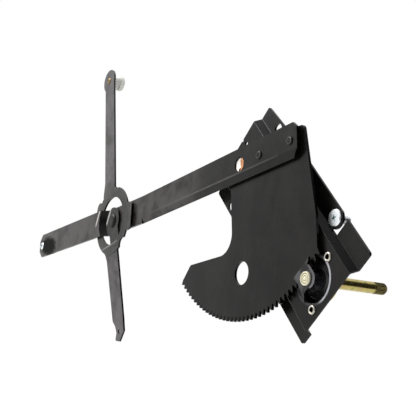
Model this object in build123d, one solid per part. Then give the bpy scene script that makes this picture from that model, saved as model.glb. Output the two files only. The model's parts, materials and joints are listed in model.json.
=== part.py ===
from build123d import *
import os
from math import asin, cos, degrees, pi, radians, sin, tan

# Manual window regulator: a toothed sector on a stamped backplate swings a long lift arm,
# and an equalizer arm crosses that lift arm through its own ring.
#
# Every piece is drawn flat, as seen from the sector side: x to the right, y up and z towards
# the viewer, with the sector pivot at x = y = 0 and the sector's front face at z = 0.
# stand_up() then turns that drawing upright and moves the centre of the first mounting hole,
# on the mounting face, to the origin.  All sizes are in millimetres, angles in degrees.

# ---- gearing ----
MODULE = 25.4 / 12
SECTOR_TEETH_PER_TURN = 147
PINION_TEETH = 7
SECTOR_TEETH_ABOVE = 4
SECTOR_TEETH_BELOW = 35
PRESSURE_ANGLE = 20
BACKLASH = 0.3
DEDENDUM_FACTOR = 1.3
PINION_ANGLE = -40.75

SECTOR_PITCH_RADIUS = MODULE * SECTOR_TEETH_PER_TURN / 2
SECTOR_TIP_RADIUS = SECTOR_PITCH_RADIUS + MODULE
SECTOR_ROOT_RADIUS = SECTOR_PITCH_RADIUS - DEDENDUM_FACTOR * MODULE
SECTOR_TOOTH_ANGLE = 360 / SECTOR_TEETH_PER_TURN
PINION_PITCH_RADIUS = MODULE * PINION_TEETH / 2
PINION_TIP_RADIUS = PINION_PITCH_RADIUS + 0.85 * MODULE
PINION_ROOT_RADIUS = PINION_PITCH_RADIUS - 1.17 * MODULE
CENTRE_DISTANCE = SECTOR_PITCH_RADIUS + PINION_PITCH_RADIUS

# ---- sheet levels, measured from the sector's front face ----
SECTOR_THICKNESS = 2.8
ARM_THICKNESS = 2.8
ARM_STANDOFF = 3.2
EQUALIZER_THICKNESS = 2.4
EQUALIZER_GAP = 1.5
PIVOT_WASHER_THICKNESS = 0.6
PLATE_THICKNESS = 2.2
PLATE_GAP = 2.2
JOGGLE_DEPTH = 7.5

ARM_LOW_BACK = ARM_STANDOFF
ARM_LOW_FRONT = ARM_LOW_BACK + ARM_THICKNESS
RING_BACK = ARM_LOW_FRONT + EQUALIZER_GAP
RING_FRONT = RING_BACK + EQUALIZER_THICKNESS
ARM_HIGH_BACK = RING_FRONT + EQUALIZER_GAP
ARM_HIGH_FRONT = ARM_HIGH_BACK + ARM_THICKNESS
SPOON_BACK = ARM_LOW_FRONT + PIVOT_WASHER_THICKNESS
SPOON_FRONT = SPOON_BACK + EQUALIZER_THICKNESS
SECTOR_BACK = -SECTOR_THICKNESS
WEB_FRONT = SECTOR_BACK - PLATE_GAP
WEB_BACK = WEB_FRONT - PLATE_THICKNESS
FLANGE_FRONT = WEB_FRONT - JOGGLE_DEPTH
FLANGE_BACK = FLANGE_FRONT - PLATE_THICKNESS

# ---- backplate, along and across the line from sector pivot to pinion ----
PLATE_TOP = -30
PLATE_BOTTOM = 191
WEB_HALF_WIDTH = 35.5
JOGGLE_RUN = 4.5
FLANGE_FOOT = WEB_HALF_WIDTH + JOGGLE_RUN
FLANGE_WIDTH = 19.2
FLANGE_NARROW_WIDTH = 12.8
FLANGE_TAPER_START = 15
FLANGE_TAPER = 3
PLATE_BEND_RADIUS = 1.2
PLATE_CORNER_RADIUS = 2.5
MOUNT_HOLE_RADIUS = 5.5
MOUNT_HOLE_ALONG = 1
MOUNT_HOLE_FROM_FOOT = 10.5
MOUNT_HOLE_ACROSS = FLANGE_FOOT + MOUNT_HOLE_FROM_FOOT
STUD_ALONG = 135
STUD_FROM_FOOT = 9.4
STUD_ACROSS = FLANGE_FOOT + STUD_FROM_FOOT
STUD_TAB_RADIUS = 10
STUD_SLOT_LENGTH = 13.3
STUD_HEAD_RADIUS = 8.3
STUD_HEAD_HEIGHT = 2
STUD_SHANK_RADIUS = 4
STUD_SHOULDER_RADIUS = 4.6
STUD_LENGTH = 14
STUD_CHAMFER = 0.8
STUD_DIMPLE_RADIUS = 2.2
LOWER_HOLE_RADIUS = 4.4
LOWER_HOLE_FROM_FOOT = 7.5
LOWER_HOLE_ACROSS = FLANGE_FOOT + LOWER_HOLE_FROM_FOOT
LOCATING_HOLE = (-22, -13)
LOCATING_HOLE_RADIUS = 2.5
EDGE_NICK_ACROSS = -11
EDGE_NICK_SIZE = 3
BOWL_RADIUS = 20
BOWL_RIM_ROUND = 2.3
BOWL_FLOOR_RADIUS = 16.6
BOWL_DEPTH = 6.4
BOWL_HOLE_RADIUS = 10
BOWL_BACK_RADIUS = 21.1
BOWL_BACK_FLOOR_RADIUS = 17.9

# ---- bridge that carries the front end of the pinion ----
BRIDGE_CLEARANCE = 0.8
BRIDGE_THICKNESS = 2.4
BRIDGE_REACH = 12.5
BRIDGE_UPPER_EDGE = -14.6
BRIDGE_LOWER_EDGE = 12
BRIDGE_NOSE_RADIUS = 9
BRIDGE_LEG_START = 10
BRIDGE_LEG_RUN = 11.5
BRIDGE_LEG_FOOT = 3.5
BRIDGE_LEG_ALONG = (-3.5, 8)

# ---- crank housing, brake and crank shaft ----
HOUSING_THICKNESS = 1.1
HOUSING_FLANGE_RADIUS = 26
HOUSING_EAR_RADIUS = 5.4
HOUSING_RIVET_RADIUS = 26.5
HOUSING_RIVET_ANGLES = (-92.8, 41.2, 154)
HOUSING_MOUTH_RADIUS = 21.35
HOUSING_DRUM_RADIUS = 18.4
HOUSING_DEPTH = 11
HOUSING_CORNER = 1.2
HOUSING_INNER_CORNER = 0.5
NECK_LENGTH = 5.5
NECK_WALL = 3
SHAFT_RADIUS = 5.55
SHAFT_END = -91.5
SHAFT_TIP_LENGTH = 15
SHAFT_GROOVE_WIDTH = 1
SHAFT_GROOVE_DEPTH = 0.6
SHAFT_CHAMFER = 1.2
RUNNING_CLEARANCE = 0.05
BRAKE_GAP = 0.3
CORE_RADIUS = 12
DOG_REACH = 14.8
DOG_HALF_WIDTH = 5
BRAKE_WIRE = 1.6
BRAKE_TANG_ANGLE = 38
BRAKE_TANG_LENGTH = 3
DRIVEN_PLATE_THICKNESS = 1.6
DRIVEN_PLATE_MARGIN = 0.6
PINION_WIDTH = 4.8
JOURNAL_RADIUS = 3.4
BEARING_WALL = 1.4
BEARING_HEAD_RADIUS = 7.1
BEARING_HEAD_HEIGHT = 1.8

# ---- rivets ----
RIVET_SHANK_RADIUS = 2.4
RIVET_HEAD_RADIUS = 4.4
RIVET_HEAD_HEIGHT = 1.6
RIVET_BACK_RADIUS = 3.7
RIVET_BACK_HEIGHT = 1.2
RIVET_DIMPLE_RADIUS = 1.7
RIVET_DIMPLE_DEPTH = 1.4
FIT = 0.02

# ---- sector plate, seen from the front about its pivot ----
SECTOR_TOP_RIGHT = (89.8, 35.3)
SECTOR_RIGHT = (122.1, -47.7)
SECTOR_TOP_LEFT = (-28, 7.2)
SECTOR_LEFT = (-18, -25.3)
SECTOR_THROAT = (-0.8, -89.1)
SECTOR_THROAT_RADIUS = 21
SECTOR_TOE = (-78.7, -106.6)
SECTOR_CORNER_RADIUS = 5
SECTOR_WINDOW = (19.7, -108.4)
SECTOR_WINDOW_RADIUS = 11.7

# ---- pivot ----
ARBOR_HEAD_RADIUS = 7.8
ARBOR_RADIUS = 6
ARBOR_HEAD_RECESS = 1.4
ARBOR_SLOT = 1.6
BUSH_WALL = 1.6
BUSH_FLANGE_RADIUS = 11
ARBOR_TAIL = 0.5

# ---- counterbalance spring behind the backplate ----
SPRING_THICKNESS = 1.4
SPRING_WIDTH = 6
SPRING_HALF_TURNS = 7
SPRING_INNER_RADIUS = 7.4
SPRING_OUTER_RADIUS = WEB_HALF_WIDTH - 9.5
SPRING_GAP = 0.3
ANCHOR_RADIUS = 2.5
ANCHOR_LENGTH = 6.8

# ---- lift arm ----
ARM_ANGLE = 13.15
ARM_HALF_WIDTH = 17.1
ARM_TAIL = 92
ARM_KINK_DISTANCE = 205
ARM_LIP_START = 8.5
ARM_LIP_RADIUS = 15
ARM_TAIL_CHAMFERS = (5, 7.5)
ARM_RIVETS_ALONG = (34, 82)
EQUALIZER_PIVOT_DISTANCE = 279.9
EQUALIZER_PIVOT_ANGLE = 192.73
ARM_TIP_ANGLE = 190.75
ROLLER_DISTANCE = 229
ARM_TIP_MARGIN = 9
ARM_TIP_CHAMFER = 9
WALL_RADIUS = 24.3
WALL_SLOPE = 55

# ---- equalizer arm, about its own pivot ----
RING_INNER_RADIUS = 31.2
RING_OUTER_RADIUS = 44.5
LEFT_LOBE_REACH = 50.3
LEFT_LOBE_HALF_WIDTH = 20.8
LEFT_LOBE_ANGLE = 177
RIGHT_LOBE_REACH = 53.2
RIGHT_LOBE_HALF_WIDTH = 18
RIGHT_LOBE_ANGLE = 9
LOBE_CORNER_RADIUS = 8
NECK_NOTCH_RADIUS = 4.5
NECK_NOTCH_DISTANCE = 46.5
NECK_NOTCH_ANGLE = 87
LOWER_NOTCH_RADIUS = 9
LOWER_NOTCH_DISTANCE = 48.2
LOWER_NOTCH_ANGLE = -37
SPOON_RADIUS = 17.6
SPOON_NECK_WIDTH = 23.5
SPOON_NECK_ANGLE = -61
UPPER_ARM_LENGTH = 207.5
UPPER_ARM_ANGLE = 110.2
UPPER_ARM_LEFT_EDGE = (18.4, 11)
UPPER_ARM_RIGHT_EDGE = (9.6, 14.6)
UPPER_ARM_FLARE = (42, 22.6)
UPPER_HEAD_RADIUS = 15.9
LOWER_ARM_ANGLE = -73.8
LOWER_ARM_ROOT_WIDTH = 30.5
LOWER_ARM_TIP_WIDTH = 28
LOWER_ARM_LENGTH = 128.5
LOWER_ARM_BEND = 39
LOWER_ARM_LEAN = 6.5
LOWER_ARM_FLARE = [(51, -15.4), (43, -18), (31.2, -26.5)]
TONGUE_LENGTH = 26
TONGUE_LEAN = 10
TONGUE_SHOULDER = (14.9, 10.9)
TONGUE_END = (26, -4)
TONGUE_HOOK = (23.7, -14.5)
TONGUE_NOTCH = [(14.5, -8.2), (6, -9.5)]
TONGUE_CORNER_RADIUS = 2
TONGUE_HOLE_RADIUS = 2.6
TONGUE_HOLE = (14, -1)
EQUALIZER_RIVET_HEAD_RADIUS = 9.2
EQUALIZER_RIVET_HEAD_HEIGHT = 2.6
EQUALIZER_RIVET_RADIUS = 6
EQUALIZER_RIVET_BACK_HEIGHT = 2

# ---- rollers and their studs ----
ROLLER_RADIUS = 10.2
ROLLER_WIDTH = 6.5
ROLLER_BEVEL = 0.8
ROLLER_SETBACK = 14.4
ROLLER_END_PLAY = 0.2
ROLLER_STUD_HEAD_RADIUS = 4.2
ROLLER_STUD_HEAD_HEIGHT = 1.1
ROLLER_STUD_COLLAR_RADIUS = 5.5
ROLLER_STUD_SHANK_RADIUS = 3.4
ROLLER_AXLE_RADIUS = 3.5
ROLLER_STUD_CAP_RADIUS = 5.2
ROLLER_STUD_CAP_HEIGHT = 1.2

# ---- levels of the brake in its housing ----
DRIVEN_PLATE_FRONT = WEB_FRONT - BOWL_DEPTH - BRAKE_GAP
DRIVEN_PLATE_BACK = DRIVEN_PLATE_FRONT - DRIVEN_PLATE_THICKNESS
BRAKE_FRONT = WEB_FRONT - BOWL_DEPTH - PLATE_THICKNESS - BRAKE_GAP
BRAKE_BACK = WEB_BACK - HOUSING_DEPTH + BRAKE_GAP
BRAKE_RADIUS = HOUSING_DRUM_RADIUS - BRAKE_GAP


# ======== drawing helpers ========

def polar(radius, angle):
    return Vector(radius * cos(radians(angle)), radius * sin(radians(angle)), 0)


PINION_CENTRE = polar(CENTRE_DISTANCE, PINION_ANGLE)
EQUALIZER_PIVOT = polar(EQUALIZER_PIVOT_DISTANCE, EQUALIZER_PIVOT_ANGLE)
ARM_KINK = polar(ARM_KINK_DISTANCE, 180 + ARM_ANGLE)
LIFT_ROLLER = EQUALIZER_PIVOT + polar(ROLLER_DISTANCE, ARM_TIP_ANGLE)
EQUALIZER_ROLLER = EQUALIZER_PIVOT + polar(UPPER_ARM_LENGTH, UPPER_ARM_ANGLE)


def on_plate(along, across, level=0):
    """Placement on the backplate: along the line of centres, across it, and in depth."""
    point = polar(along, PINION_ANGLE) + polar(across, PINION_ANGLE - 90)
    return Pos(point.X, point.Y, level)


def turned(point, angle, level=0):
    return Pos(point.X, point.Y, level) * Rot(0, 0, angle)


def disc(radius, bottom, top):
    return Pos(0, 0, bottom) * Cylinder(radius, top - bottom, align=(Align.CENTER, Align.CENTER, Align.MIN))


def block(x_range, y_range, z_range):
    low = (x_range[0], y_range[0], z_range[0])
    size = (x_range[1] - x_range[0], y_range[1] - y_range[0], z_range[1] - z_range[0])
    return Pos(*low) * Box(*size, align=(Align.MIN, Align.MIN, Align.MIN))


def strip(path, half_width):
    """Outline of a strip of constant width along a bent centre line, with mitred corners."""
    points = [Vector(*p) if isinstance(p, tuple) else p for p in path]
    left = []
    right = []
    for index, point in enumerate(points):
        before = points[index] - points[index - 1] if index else points[1] - points[0]
        after = points[index + 1] - points[index] if index < len(points) - 1 else before
        normal_before = Vector(-before.Y, before.X, 0).normalized()
        normal_after = Vector(-after.Y, after.X, 0).normalized()
        mitre = (normal_before + normal_after) * (1 / (1 + normal_before.dot(normal_after)))
        left.append(point + mitre * half_width)
        right.append(point - mitre * half_width)
    return Polygon(*right, *reversed(left), align=None)


def plate(outline, back, front):
    return extrude(Pos(0, 0, back) * outline, front - back, dir=(0, 0, 1))


def cone(bottom_radius, top_radius, bottom, top):
    frustum = Cone(bottom_radius, top_radius, top - bottom, align=(Align.CENTER, Align.CENTER, Align.MIN))
    return Pos(0, 0, bottom) * frustum


def round_head(radius, height):
    """Rivet head standing on z = 0, with its dome drawn as a short rim and a bevel."""
    rim = height * 0.4
    return disc(radius, 0, rim) + cone(radius, radius * 0.72, rim, height)


def stand_up(solid):
    """Turns the flat drawing upright, with the first mounting hole at the origin."""
    hole = polar(MOUNT_HOLE_ALONG, PINION_ANGLE) + polar(-MOUNT_HOLE_ACROSS, PINION_ANGLE - 90)
    return Pos(-hole.X, FLANGE_BACK, -hole.Y) * Rot(90, 0, 0) * solid


# ======== backplate body ========

def backplate_section():
    """Hat section across the plate: x across, y in depth."""
    centre_web = (WEB_FRONT + WEB_BACK) / 2
    centre_flange = (FLANGE_FRONT + FLANGE_BACK) / 2
    edge = FLANGE_FOOT + FLANGE_WIDTH * 2
    path = [
        (-edge, centre_flange),
        (-FLANGE_FOOT, centre_flange),
        (-WEB_HALF_WIDTH, centre_web),
        (WEB_HALF_WIDTH, centre_web),
        (FLANGE_FOOT, centre_flange),
        (edge, centre_flange),
    ]
    section = strip(path, PLATE_THICKNESS / 2)
    bends = [v for v in section.vertices() if abs(v.X) < edge - 1]
    return fillet(bends, PLATE_BEND_RADIUS)


def backplate_outline():
    """Outline of the plate: one flange narrows downward, the other a little at its top."""
    wide = FLANGE_FOOT + FLANGE_WIDTH
    outline = Polygon(
        (PLATE_TOP, -wide),
        (PLATE_BOTTOM, -FLANGE_FOOT - FLANGE_NARROW_WIDTH),
        (PLATE_BOTTOM, wide),
        (FLANGE_TAPER_START, wide),
        (PLATE_TOP, wide - FLANGE_TAPER),
        align=None,
    )
    corners = [v for v in outline.vertices() if abs(v.X - FLANGE_TAPER_START) > 1]
    return fillet(corners, PLATE_CORNER_RADIUS)


def bowl():
    """Drawn bowl round the pinion, with a rounded rim and a central hole, about its own axis."""
    floor = WEB_FRONT - BOWL_DEPTH
    outer = BOWL_RADIUS + 2 * BOWL_RIM_ROUND
    half_round = BOWL_RIM_ROUND / 2
    section = Polygon(
        (outer, WEB_FRONT),
        (BOWL_RADIUS + BOWL_RIM_ROUND, WEB_FRONT),
        (BOWL_RADIUS + half_round * 0.8, WEB_FRONT - half_round * 0.3),
        (BOWL_RADIUS, WEB_FRONT - half_round),
        (BOWL_FLOOR_RADIUS + half_round / 2, floor + half_round / 2),
        (BOWL_FLOOR_RADIUS - half_round / 2, floor),
        (BOWL_HOLE_RADIUS, floor),
        (BOWL_HOLE_RADIUS, floor - PLATE_THICKNESS),
        (BOWL_BACK_FLOOR_RADIUS, floor - PLATE_THICKNESS),
        (BOWL_BACK_RADIUS, WEB_BACK),
        (outer, WEB_BACK),
        align=None,
    )
    return revolve(Plane.XZ * section, Axis.Z, 360)


def bridge():
    """Tongue in front of the teeth, on the leg that rises from the web, about the pinion axis."""
    back = BRIDGE_CLEARANCE
    front = BRIDGE_CLEARANCE + BRIDGE_THICKNESS
    reach = -BRIDGE_REACH
    low = BRIDGE_LEG_ALONG[0]
    high = BRIDGE_LEG_ALONG[1]
    corners = [
        (reach, -BRIDGE_LOWER_EDGE),
        (reach, -BRIDGE_UPPER_EDGE),
        (low - 5, BRIDGE_NOSE_RADIUS),
        (0, BRIDGE_NOSE_RADIUS),
        (0, -BRIDGE_LEG_START),
        (low, -BRIDGE_LEG_START - 1),
    ]
    outline = Polygon(*corners, align=None) + Circle(BRIDGE_NOSE_RADIUS)
    outline += Pos((low + high) / 2, -BRIDGE_LEG_START + 2) * Rectangle(high - low, 6)
    top = plate(outline, back, front)
    middle = (front + back) / 2
    path = [
        (BRIDGE_LEG_START - 4, middle),
        (BRIDGE_LEG_START, middle),
        (BRIDGE_LEG_START + BRIDGE_LEG_RUN, (WEB_FRONT + WEB_BACK) / 2),
        (BRIDGE_LEG_START + BRIDGE_LEG_RUN + BRIDGE_LEG_FOOT, (WEB_FRONT + WEB_BACK) / 2),
    ]
    profile = strip(path, PLATE_THICKNESS / 2)
    across = Plane(origin=(low, 0, 0), x_dir=(0, -1, 0), z_dir=(-1, 0, 0))
    leg = extrude(across * profile, high - low, dir=(1, 0, 0))
    return top + leg


def backplate():
    length = PLATE_BOTTOM - PLATE_TOP
    sheet = Plane(origin=(PLATE_TOP, 0, 0), x_dir=(0, 1, 0), z_dir=(1, 0, 0))
    body = extrude(sheet * backplate_section(), length, dir=(1, 0, 0))
    body = body & plate(backplate_outline(), FLANGE_BACK - 1, WEB_FRONT + 1)
    bowl_reach = BOWL_RADIUS + 2 * BOWL_RIM_ROUND
    body -= Pos(CENTRE_DISTANCE, 0, 0) * disc(bowl_reach, WEB_BACK - 1, WEB_FRONT + 1)
    body += Pos(CENTRE_DISTANCE, 0, 0) * bowl()
    for side in (-1, 1):
        hole = disc(MOUNT_HOLE_RADIUS, FLANGE_BACK - 1, FLANGE_FRONT + 1)
        body -= Pos(MOUNT_HOLE_ALONG, side * MOUNT_HOLE_ACROSS, 0) * hole
    body -= stud_slot()
    shoulder_hole = disc(STUD_SHOULDER_RADIUS + FIT, FLANGE_BACK - 1, FLANGE_FRONT + 1)
    body -= Pos(STUD_ALONG, STUD_ACROSS, 0) * shoulder_hole
    lower_hole = disc(LOWER_HOLE_RADIUS, FLANGE_BACK - 1, FLANGE_FRONT + 1)
    body -= Pos(STUD_ALONG, -LOWER_HOLE_ACROSS, 0) * lower_hole
    for angle in HOUSING_RIVET_ANGLES:
        place = polar(HOUSING_RIVET_RADIUS, -angle)
        hole = disc(RIVET_SHANK_RADIUS + FIT, WEB_BACK - 1, WEB_FRONT + 1)
        body -= Pos(CENTRE_DISTANCE + place.X, place.Y, 0) * hole
    body -= disc(ARBOR_RADIUS + BUSH_WALL + FIT, WEB_BACK - 1, WEB_FRONT + 1)
    through = disc(LOCATING_HOLE_RADIUS, WEB_BACK - 1, WEB_FRONT + 1)
    body -= Pos(LOCATING_HOLE[0], -LOCATING_HOLE[1], 0) * through
    body -= Pos(PLATE_TOP, -EDGE_NICK_ACROSS, 0) * disc(EDGE_NICK_SIZE / 2, WEB_BACK - 1, WEB_FRONT + 1)
    body -= Pos(SPRING_OUTER_RADIUS + SPRING_THICKNESS / 2 + ANCHOR_RADIUS, 0, 0) * disc(
        ANCHOR_RADIUS * 0.7 + FIT, WEB_BACK - 1, WEB_FRONT + 1
    )
    bearing_hole = disc(JOURNAL_RADIUS + BEARING_WALL + FIT, 0, BRIDGE_CLEARANCE + BRIDGE_THICKNESS + 1)
    body += Pos(CENTRE_DISTANCE, 0, 0) * bridge()
    body -= Pos(CENTRE_DISTANCE, 0, 0) * bearing_hole
    return Rot(0, 0, PINION_ANGLE) * body


def stud_slot():
    """Relief beyond the rounded tab that carries the mounting stud."""
    levels = (FLANGE_BACK - 1, FLANGE_FRONT + 1)
    along = (STUD_ALONG, STUD_ALONG + STUD_SLOT_LENGTH)
    slot = block(along, (FLANGE_FOOT, FLANGE_FOOT + FLANGE_WIDTH + 1), levels)
    tab = disc(STUD_TAB_RADIUS, *levels)
    return slot - Pos(STUD_ALONG, STUD_ACROSS, 0) * tab


def mounting_studs():
    """Stud pressed into the flange by its shoulder, its threaded end standing out behind."""
    head = round_head(STUD_HEAD_RADIUS, STUD_HEAD_HEIGHT)
    head -= disc(STUD_DIMPLE_RADIUS, STUD_HEAD_HEIGHT / 2, STUD_HEAD_HEIGHT + 1)
    stud = Pos(0, 0, FLANGE_FRONT) * head + disc(STUD_SHOULDER_RADIUS, FLANGE_BACK, FLANGE_FRONT)
    end = FLANGE_BACK - STUD_LENGTH
    stud += disc(STUD_SHANK_RADIUS, end + STUD_CHAMFER, FLANGE_BACK)
    stud += cone(STUD_SHANK_RADIUS - STUD_CHAMFER, STUD_SHANK_RADIUS, end, end + STUD_CHAMFER)
    return on_plate(STUD_ALONG, -STUD_ACROSS) * stud


def crank_housing():
    """Drawn drum of the brake, riveted behind the web round the bowl, with the shaft's neck."""
    wall = HOUSING_THICKNESS
    back = WEB_BACK - HOUSING_DEPTH
    step = BOWL_DEPTH
    section = Polygon(
        (HOUSING_FLANGE_RADIUS, WEB_BACK),
        (HOUSING_MOUTH_RADIUS, WEB_BACK),
        (HOUSING_DRUM_RADIUS, WEB_BACK - step),
        (HOUSING_DRUM_RADIUS, back + HOUSING_INNER_CORNER),
        (HOUSING_DRUM_RADIUS - HOUSING_INNER_CORNER, back),
        (SHAFT_RADIUS + RUNNING_CLEARANCE, back),
        (SHAFT_RADIUS + RUNNING_CLEARANCE, back - wall - NECK_LENGTH),
        (SHAFT_RADIUS + NECK_WALL, back - wall - NECK_LENGTH),
        (SHAFT_RADIUS + NECK_WALL, back - wall),
        (HOUSING_DRUM_RADIUS + wall - HOUSING_CORNER, back - wall),
        (HOUSING_DRUM_RADIUS + wall, back - wall + HOUSING_CORNER),
        (HOUSING_DRUM_RADIUS + wall, WEB_BACK - step - wall / 2),
        (HOUSING_MOUTH_RADIUS + wall, WEB_BACK - wall),
        (HOUSING_FLANGE_RADIUS, WEB_BACK - wall),
        align=None,
    )
    shell = revolve(Plane.XZ * section, Axis.Z, 360)
    clear_mouth = disc(HOUSING_MOUTH_RADIUS + wall / 2, WEB_BACK - wall, WEB_BACK)
    for angle in HOUSING_RIVET_ANGLES:
        place = polar(HOUSING_RIVET_RADIUS, -angle)
        ear = disc(HOUSING_EAR_RADIUS, WEB_BACK - wall, WEB_BACK)
        shell += Pos(place.X, place.Y, 0) * ear - clear_mouth
        shell -= Pos(place.X, place.Y, 0) * disc(RIVET_SHANK_RADIUS + FIT, WEB_BACK - wall - 1, WEB_BACK + 1)
    return turned(PINION_CENTRE, PINION_ANGLE) * shell


def tubular_rivet(back, front):
    """Semi-tubular rivet through sheets from back to front, set in front and headed behind."""
    head = round_head(RIVET_HEAD_RADIUS, RIVET_HEAD_HEIGHT)
    rivet = Pos(0, 0, front) * head + disc(RIVET_SHANK_RADIUS, back, front)
    rivet += disc(RIVET_BACK_RADIUS, back - RIVET_BACK_HEIGHT, back)
    dimple_bottom = front + RIVET_HEAD_HEIGHT - RIVET_DIMPLE_DEPTH
    return rivet - disc(RIVET_DIMPLE_RADIUS, dimple_bottom, front + RIVET_HEAD_HEIGHT + 1)


def housing_rivets():
    rivet = tubular_rivet(WEB_BACK - HOUSING_THICKNESS, WEB_FRONT)
    rivets = []
    for angle in HOUSING_RIVET_ANGLES:
        place = polar(HOUSING_RIVET_RADIUS, -angle)
        rivets.append(turned(PINION_CENTRE, PINION_ANGLE) * Pos(place.X, place.Y, 0) * rivet)
    return rivets


def pinion_bearing():
    """Blind nylon bearing pushed into the bridge from the front."""
    back = BRIDGE_CLEARANCE
    front = BRIDGE_CLEARANCE + BRIDGE_THICKNESS
    body = Pos(0, 0, front) * round_head(BEARING_HEAD_RADIUS, BEARING_HEAD_HEIGHT)
    body += disc(JOURNAL_RADIUS + BEARING_WALL, back, front)
    body -= disc(JOURNAL_RADIUS + RUNNING_CLEARANCE, back - 1, front + BEARING_HEAD_HEIGHT / 3)
    return turned(PINION_CENTRE, 0) * body


def pivot_bush():
    """Flanged bronze bush in the web, whose flange spaces the sector off the plate."""
    bush = disc(ARBOR_RADIUS + BUSH_WALL, WEB_BACK, WEB_FRONT)
    bush += disc(BUSH_FLANGE_RADIUS, WEB_FRONT, SECTOR_BACK)
    return bush - disc(ARBOR_RADIUS + RUNNING_CLEARANCE, WEB_BACK - 1, 0)


def spring_anchor():
    """Pin on the back of the web that holds the outer end of the counterbalance spring."""
    pin = disc(ANCHOR_RADIUS, WEB_BACK - ANCHOR_LENGTH, WEB_BACK)
    pin += disc(ANCHOR_RADIUS * 0.7, WEB_BACK, WEB_FRONT)
    return on_plate(SPRING_OUTER_RADIUS + SPRING_THICKNESS / 2 + ANCHOR_RADIUS, 0) * pin


def counterbalance_spring():
    """Flat spiral spring of half circles round the arbor, its inner end in the arbor's slot."""
    half = SPRING_THICKNESS / 2
    growth = (SPRING_OUTER_RADIUS - SPRING_INNER_RADIUS) / SPRING_HALF_TURNS
    inside = []
    outside = []
    for step in range(SPRING_HALF_TURNS):
        side = -1 if (SPRING_HALF_TURNS - step) % 2 else 1
        near = side * (SPRING_INNER_RADIUS + growth * step)
        far = -side * (SPRING_INNER_RADIUS + growth * (step + 1))
        centre = (near + far) / 2
        radius = abs(near - far) / 2
        for edges, offset in ((inside, -half), (outside, half)):
            start = (centre + side * (radius + offset), 0)
            middle = (centre, side * (radius + offset))
            end = (centre - side * (radius + offset), 0)
            edges.append(ThreePointArc(start, middle, end))
    end_cap = Line(inside[-1] @ 1, outside[-1] @ 1)
    start_cap = Line(outside[0] @ 0, inside[0] @ 0)
    strip_face = make_face(inside + [end_cap] + outside + [start_cap])
    reach = SPRING_INNER_RADIUS if SPRING_HALF_TURNS % 2 == 0 else -SPRING_INNER_RADIUS
    tail = Pos(reach / 2, 0) * Rectangle(SPRING_INNER_RADIUS, SPRING_THICKNESS)
    back = WEB_BACK - SPRING_GAP - SPRING_WIDTH
    coil = plate(strip_face + tail, back, back + SPRING_WIDTH)
    return Rot(0, 0, PINION_ANGLE) * coil


# ======== sector and lift arm body ========

def sector_tooth():
    """One straight-sided tooth on the x axis, thinned by the backlash."""
    half_pitch_width = (pi * MODULE / 2 - BACKLASH) / 2
    slope = tan(radians(PRESSURE_ANGLE))
    root_half = half_pitch_width + (SECTOR_PITCH_RADIUS - SECTOR_ROOT_RADIUS) * slope
    tip_half = half_pitch_width - MODULE * slope
    base = SECTOR_ROOT_RADIUS - 1
    return Polygon(
        (base, -root_half),
        (SECTOR_ROOT_RADIUS, -root_half),
        (SECTOR_TIP_RADIUS, -tip_half),
        (SECTOR_TIP_RADIUS, tip_half),
        (SECTOR_ROOT_RADIUS, root_half),
        (base, root_half),
        align=None,
    )


def sector_plate():
    upper = PINION_ANGLE + SECTOR_TOOTH_ANGLE * (SECTOR_TEETH_ABOVE - 0.25)
    lower = PINION_ANGLE - SECTOR_TOOTH_ANGLE * (SECTOR_TEETH_BELOW - 0.15)
    start = polar(SECTOR_ROOT_RADIUS, upper)
    end = polar(SECTOR_ROOT_RADIUS, lower)
    corners = [SECTOR_RIGHT, SECTOR_TOP_RIGHT, SECTOR_TOP_LEFT, SECTOR_LEFT, SECTOR_THROAT, SECTOR_TOE]
    sides = Polyline(start, *corners, end)
    arc = ThreePointArc(end, polar(SECTOR_ROOT_RADIUS, (upper + lower) / 2), start)
    outline = make_face(sides.edges() + arc.edges())
    throat = outline.vertices().sort_by_distance(Vector(*SECTOR_THROAT))[0]
    outline = fillet(throat, SECTOR_THROAT_RADIUS)
    for corner in (SECTOR_TOP_RIGHT, SECTOR_TOP_LEFT, SECTOR_LEFT, SECTOR_TOE):
        nearest = outline.vertices().sort_by_distance(Vector(*corner))[0]
        outline = fillet(nearest, SECTOR_CORNER_RADIUS)
    teeth = []
    for number in range(-SECTOR_TEETH_BELOW, SECTOR_TEETH_ABOVE):
        teeth.append(Rot(0, 0, PINION_ANGLE + (number + 0.5) * SECTOR_TOOTH_ANGLE) * sector_tooth())
    outline = outline + teeth
    outline -= Circle(ARBOR_RADIUS + FIT)
    outline -= Pos(*SECTOR_WINDOW) * Circle(SECTOR_WINDOW_RADIUS)
    for along in ARM_RIVETS_ALONG:
        place = polar(along, ARM_ANGLE)
        outline -= Pos(place.X, place.Y) * Circle(RIVET_SHANK_RADIUS + FIT)
    return plate(outline, SECTOR_BACK, 0)


def lift_arm_outline():
    tail = polar(ARM_TAIL, ARM_ANGLE)
    tip = LIFT_ROLLER + polar(ARM_TIP_MARGIN, ARM_TIP_ANGLE)
    outline = strip([tail, ARM_KINK, EQUALIZER_PIVOT, tip], ARM_HALF_WIDTH)
    outline = chamfer(outline.vertices().sort_by(Axis.X)[:2], ARM_TIP_CHAMFER)
    for side, size in zip((1, -1), ARM_TAIL_CHAMFERS):
        corner = tail + polar(side * ARM_HALF_WIDTH, ARM_ANGLE + 90)
        outline = chamfer(outline.vertices().sort_by_distance(corner)[0], size)
    return outline


def lift_arm_profile():
    """Half section of the joggle about the equalizer pivot: x is the radius, y the level."""
    low = (ARM_LOW_BACK + ARM_LOW_FRONT) / 2
    high = (ARM_HIGH_BACK + ARM_HIGH_FRONT) / 2
    rise = (high - low) / tan(radians(WALL_SLOPE))
    path = [(0, low), (WALL_RADIUS, low), (WALL_RADIUS + rise, high), (ROLLER_DISTANCE * 2, high)]
    return strip(path, ARM_THICKNESS / 2)


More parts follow.
